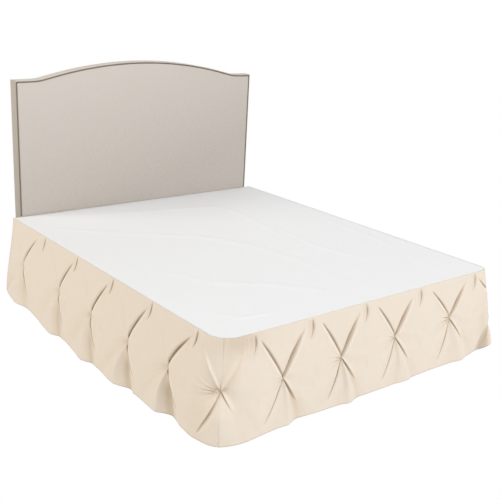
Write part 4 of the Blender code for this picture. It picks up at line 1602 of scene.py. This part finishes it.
@dataclass(frozen=True)
class Linen:
    """Heathered greige linen for the headboard, with painted light paler upwards and painted shade
    on its sides.
    """

    colour: Colour = (0.50, 0.448, 0.395)
    light: Colour = (0.59, 0.538, 0.478)
    # Painted light that pales the linen upwards and towards the left.
    bright: Colour = (0.76, 0.695, 0.625)
    fade: float = 0.75
    painted_light_lean: float = 0.35
    painted_light_start: float = 0.55
    # Painted shade on the left and right sides.
    side: Colour = (0.34, 0.28, 0.215)
    side_painted_shade_share: float = 0.50
    side_painted_shade_from: float = 0.866
    weft_scale: Scales = (70.0, 70.0, 900.0)
    warp_scale: Scales = (900.0, 900.0, 70.0)
    thread_share: float = 0.6
    streak_scale: Scales = (45.0, 45.0, 160.0)
    streak_share: float = 1.6
    streak_middle: float = 0.9
    thread_rise: float = 3.0
    pitch: float = 0.0016
    roughness: float = 0.95
    sheen: float = 0.1
    bump: tuple[float, float] = (0.00015, 0.7)

    def material(self) -> bpy.types.Material:
        """Make the material.

        Returns:
            The material.
        """
        nodes = Nodes(Slot.LINEN, self.roughness, self.sheen)
        place, (x, _, z) = nodes.object_place()
        weft, warp = nodes.noise(place, self.weft_scale), nodes.noise(place, self.warp_scale)
        heather = nodes.math("MULTIPLY", nodes.math("ADD", weft, warp), self.thread_share)
        streaks = nodes.noise(place, self.streak_scale, 3.0)
        streaks = nodes.math("MULTIPLY", streaks, self.streak_share)
        streaks = nodes.math("SUBTRACT", streaks, self.streak_middle)
        heather = nodes.math("ADD", heather, streaks)
        cloth = nodes.mix(heather, self.colour, self.light)
        # Painted light upwards and to the left, then painted shade on the sides.
        high = nodes.math("SUBTRACT", z, nodes.math("MULTIPLY", x, self.painted_light_lean))
        cloth = nodes.mix(nodes.ramp(high, self.painted_light_start, self.fade), cloth, self.bright)
        edge = nodes.math("GREATER_THAN", nodes.math("MULTIPLY", x, x), self.side_painted_shade_from ** 2)
        nodes.colour(nodes.mix(nodes.math("MULTIPLY", edge, self.side_painted_shade_share), cloth, self.side))
        weave = nodes.weave(x, z, self.pitch)
        weave = nodes.math("ADD", weave, nodes.math("MULTIPLY", heather, self.thread_rise))
        nodes.bump(weave, *self.bump)
        return nodes.material


@dataclass(frozen=True)
class Ticking:
    """Off-white box spring ticking with a fine woven stripe."""

    colour: Colour = (0.80, 0.79, 0.76)
    mottle: float = 0.93
    mottle_scale: float = 60.0
    stripe: Colour = (0.62, 0.63, 0.65)
    stripe_pitch: float = 0.020
    stripe_from: float = 0.8
    stripe_share: float = 0.6
    pitch: float = 0.0012
    roughness: float = 0.9
    bump: tuple[float, float] = (0.0001, 0.6)

    def material(self) -> bpy.types.Material:
        """Make the material.

        Returns:
            The material.
        """
        nodes = Nodes(Slot.TICKING, self.roughness)
        place, (x, y, z) = nodes.object_place()
        band = nodes.wave(nodes.math("ADD", x, y), self.stripe_pitch)
        band = nodes.math("GREATER_THAN", band, self.stripe_from)
        cloth = nodes.mix(nodes.noise(place, self.mottle_scale), self.colour,
                          toned(self.colour, self.mottle))
        nodes.colour(nodes.mix(nodes.math("MULTIPLY", band, self.stripe_share), cloth,
                               self.stripe))
        nodes.bump(nodes.wave(z, self.pitch), *self.bump)
        return nodes.material


@dataclass(frozen=True)
class PaintedMetal:
    """Dark painted or aged metal with uneven gloss."""

    slot: Slot
    colour: Colour
    worn: Colour
    roughness: float
    metallic: float
    cloud_scale: float = 90.0
    gloss_range: float = 0.2
    grain_scale: float = 900.0
    bump: tuple[float, float] = (0.0001, 0.5)

    def material(self) -> bpy.types.Material:
        """Make the material.

        Returns:
            The material.
        """
        nodes = Nodes(self.slot, self.roughness)
        place, _ = nodes.object_place()
        cloud = nodes.noise(place, self.cloud_scale, 4.0)
        nodes.colour(nodes.mix(cloud, self.colour, self.worn))
        gloss = nodes.math("MULTIPLY", cloud, self.gloss_range)
        gloss = nodes.math("ADD", gloss, self.roughness - self.gloss_range / 2)
        nodes.set(nodes.shader, "Roughness", gloss)
        nodes.shader.inputs["Metallic"].default_value = self.metallic
        nodes.bump(nodes.noise(place, self.grain_scale), *self.bump)
        return nodes.material


@dataclass(frozen=True)
class PostWood:
    """Pine posts with long grain up their height."""

    pale: Colour = (0.52, 0.37, 0.22)
    dark: Colour = (0.36, 0.23, 0.12)
    grain_scale: Scales = (120.0, 120.0, 5.0)
    roughness: float = 0.6
    bump: tuple[float, float] = (0.0003, 0.5)

    def material(self) -> bpy.types.Material:
        """Make the material.

        Returns:
            The material.
        """
        nodes = Nodes(Slot.WOOD, self.roughness)
        grain = nodes.noise(nodes.object_place()[0], self.grain_scale, 4.0)
        nodes.colour(nodes.mix(grain, self.pale, self.dark))
        nodes.bump(grain, *self.bump)
        return nodes.material


STEEL = PaintedMetal(Slot.STEEL, (0.030, 0.030, 0.032), (0.055, 0.053, 0.050), 0.45, 0.3)
ENAMEL = PaintedMetal(Slot.ENAMEL, (0.025, 0.025, 0.026), (0.045, 0.044, 0.043), 0.35, 0.0)
BRASS = PaintedMetal(Slot.BRASS, (0.24, 0.15, 0.075), (0.07, 0.045, 0.022), 0.45, 0.85)


# ---- the whole bed --------------------------------------------------------------------------

@dataclass
class Bed:
    """The plain bed that the skirt falls over."""

    steel_nodes: tuple[str, ...] = ("side_rail", "bracket", "cross_rail", "centre_rail")
    enamel_nodes: tuple[str, ...] = ("leg",)
    wood_nodes: tuple[str, ...] = ("post",)
    fill: float = 0.9

    def dress_nodes(self) -> None:
        """Give the frame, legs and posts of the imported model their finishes."""
        for starts, finish in ((self.steel_nodes, STEEL), (self.enamel_nodes, ENAMEL),
                               (self.wood_nodes, PostWood())):
            material = finish.material()
            for name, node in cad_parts.items():
                if name.startswith(starts):
                    node.data.materials.clear()
                    node.data.materials.append(material)

    def build(self) -> None:
        """Build the bed's own pieces."""
        self.dress_nodes()
        box = BoxSpring().build()
        declare(box, "box_spring", Ticking().material())
        board = Headboard().build()
        declare(board, "headboard", Linen().material())
        declare(NailRow().build(), "nail_strip", BRASS.material())


@dataclass(frozen=True)
class Lamp:
    """One square softbox; strength is how bright it makes a white surface that faces it."""

    name: str
    place: tuple[float, float, float]
    size: float
    strength: float
    colour: Colour = (1.0, 1.0, 1.0)

    def hang(self, target: tuple[float, float, float]) -> None:
        """Hang the lamp so that it faces the bed.

        Args:
            target: the point that it faces.
        """
        reach = Vector(self.place) - Vector(target)
        data = bpy.data.lights.new(self.name, "AREA")
        data.shape = "SQUARE"
        data.size = self.size
        data.energy = self.strength * math.pi ** 2 * reach.length_squared
        data.color = self.colour
        light = bpy.data.objects.new(self.name, data)
        light.location = self.place
        light.rotation_mode = "QUATERNION"
        light.rotation_quaternion = reach.to_track_quat("Z", "Y")
        bpy.context.scene.collection.objects.link(light)


@dataclass(frozen=True)
class Stage:
    """The plain floor, soft light and camera."""

    place: tuple[float, float, float] = (-2.7779, -3.5036, 1.8533)
    yaw: float = 39.2656
    pitch: float = -17.8836
    roll: float = 3.0535
    focal: float = 806.85
    frame_size: float = 500.0
    sensor: float = 36.0
    target: tuple[float, float, float] = (0.0, 0.0, 0.4)
    sky_glow: float = 0.37
    floor_glow: float = 0.76
    floor_size: float = 60.0
    lamps: tuple[Lamp, ...] = (
        Lamp("left", (-11.4, 4.2, 7.8), 7.0, 0.435, (1.0, 0.95, 0.87)),
        Lamp("front", (4.2, -11.4, 7.8), 7.0, 0.54, (0.98, 1.0, 1.04)),
        Lamp("corner", (-8.0, -8.0, 6.0), 7.0, 0.10),
        Lamp("back_fill", (8.0, 8.0, 5.0), 8.0, 0.12),
    )

    def camera(self) -> None:
        """Place the camera at the photograph's viewing angle."""
        yaw, pitch, roll = (math.radians(angle) for angle in (self.yaw, self.pitch, self.roll))
        ahead = Vector((math.sin(yaw) * math.cos(pitch), math.cos(yaw) * math.cos(pitch),
                        math.sin(pitch)))
        right = Vector((math.cos(yaw), -math.sin(yaw), 0.0))
        up = right.cross(ahead)
        right, up = (math.cos(roll) * right + math.sin(roll) * up,
                     math.cos(roll) * up - math.sin(roll) * right)
        data = bpy.data.cameras.new("camera")
        data.sensor_width = self.sensor
        data.lens = self.focal / self.frame_size * self.sensor
        camera = bpy.data.objects.new("camera", data)
        bpy.context.scene.collection.objects.link(camera)
        turn = Matrix((right, up, -ahead)).transposed().to_4x4()
        camera.matrix_world = Matrix.Translation(self.place) @ turn
        bpy.context.scene.camera = camera

    def floor(self) -> None:
        """Lay the plain white floor."""
        bpy.ops.object.select_all(action="DESELECT")
        bpy.ops.mesh.primitive_plane_add(size=self.floor_size, location=(0.0, 0.0, 0.0))
        floor = bpy.context.active_object
        floor.name = "floor"
        material = bpy.data.materials.new("studio_floor")
        material.use_nodes = True
        shader = material.node_tree.nodes["Principled BSDF"]
        for name, value in (("Base Color", (0.0, 0.0, 0.0, 1.0)), ("Roughness", 1.0),
                            ("Specular IOR Level", 0.0), ("Emission Color", (1.0,) * 4)):
            shader.inputs[name].default_value = value
        self.white_to_camera(material.node_tree, shader.inputs["Emission Strength"],
                             self.floor_glow)
        floor.data.materials.append(material)

    def white_to_camera(self, tree: bpy.types.NodeTree, strength: bpy.types.NodeSocket,
                        glow: float) -> None:
        """Show a surround pure white, while it lights the bed with less.

        Args:
            tree: the surround's nodes.
            strength: the socket for its strength.
            glow: the strength with which it lights the bed.
        """
        path = tree.nodes.new("ShaderNodeLightPath")
        blend = tree.nodes.new("ShaderNodeMix")
        blend.data_type = "FLOAT"
        blend.inputs[2].default_value = glow
        blend.inputs[3].default_value = 1.0
        tree.links.new(path.outputs["Is Camera Ray"], blend.inputs[0])
        tree.links.new(blend.outputs[0], strength)

    def light(self) -> None:
        """Set the soft surrounding light and the lamps."""
        scene = bpy.context.scene
        scene.world = bpy.data.worlds.new("studio")
        scene.world.use_nodes = True
        tree = scene.world.node_tree
        tree.nodes["Background"].inputs["Color"].default_value = (1.0, 1.0, 1.0, 1.0)
        self.white_to_camera(tree, tree.nodes["Background"].inputs["Strength"], self.sky_glow)
        for lamp in self.lamps:
            lamp.hang(self.target)
        scene.view_settings.view_transform = "Standard"
        scene.view_settings.look = "None"

    def build(self) -> None:
        """Set the whole stage."""
        self.floor()
        self.light()
        self.camera()


def main() -> None:
    """Build the bed and its skirt in order."""
    logging.basicConfig(level=logging.INFO, format="%(message)s")
    Bed().build()
    Skirt().build(SkirtCotton().material(), DeckCloth().material())
    Stage().build()


if __name__ == "__main__":
    main()
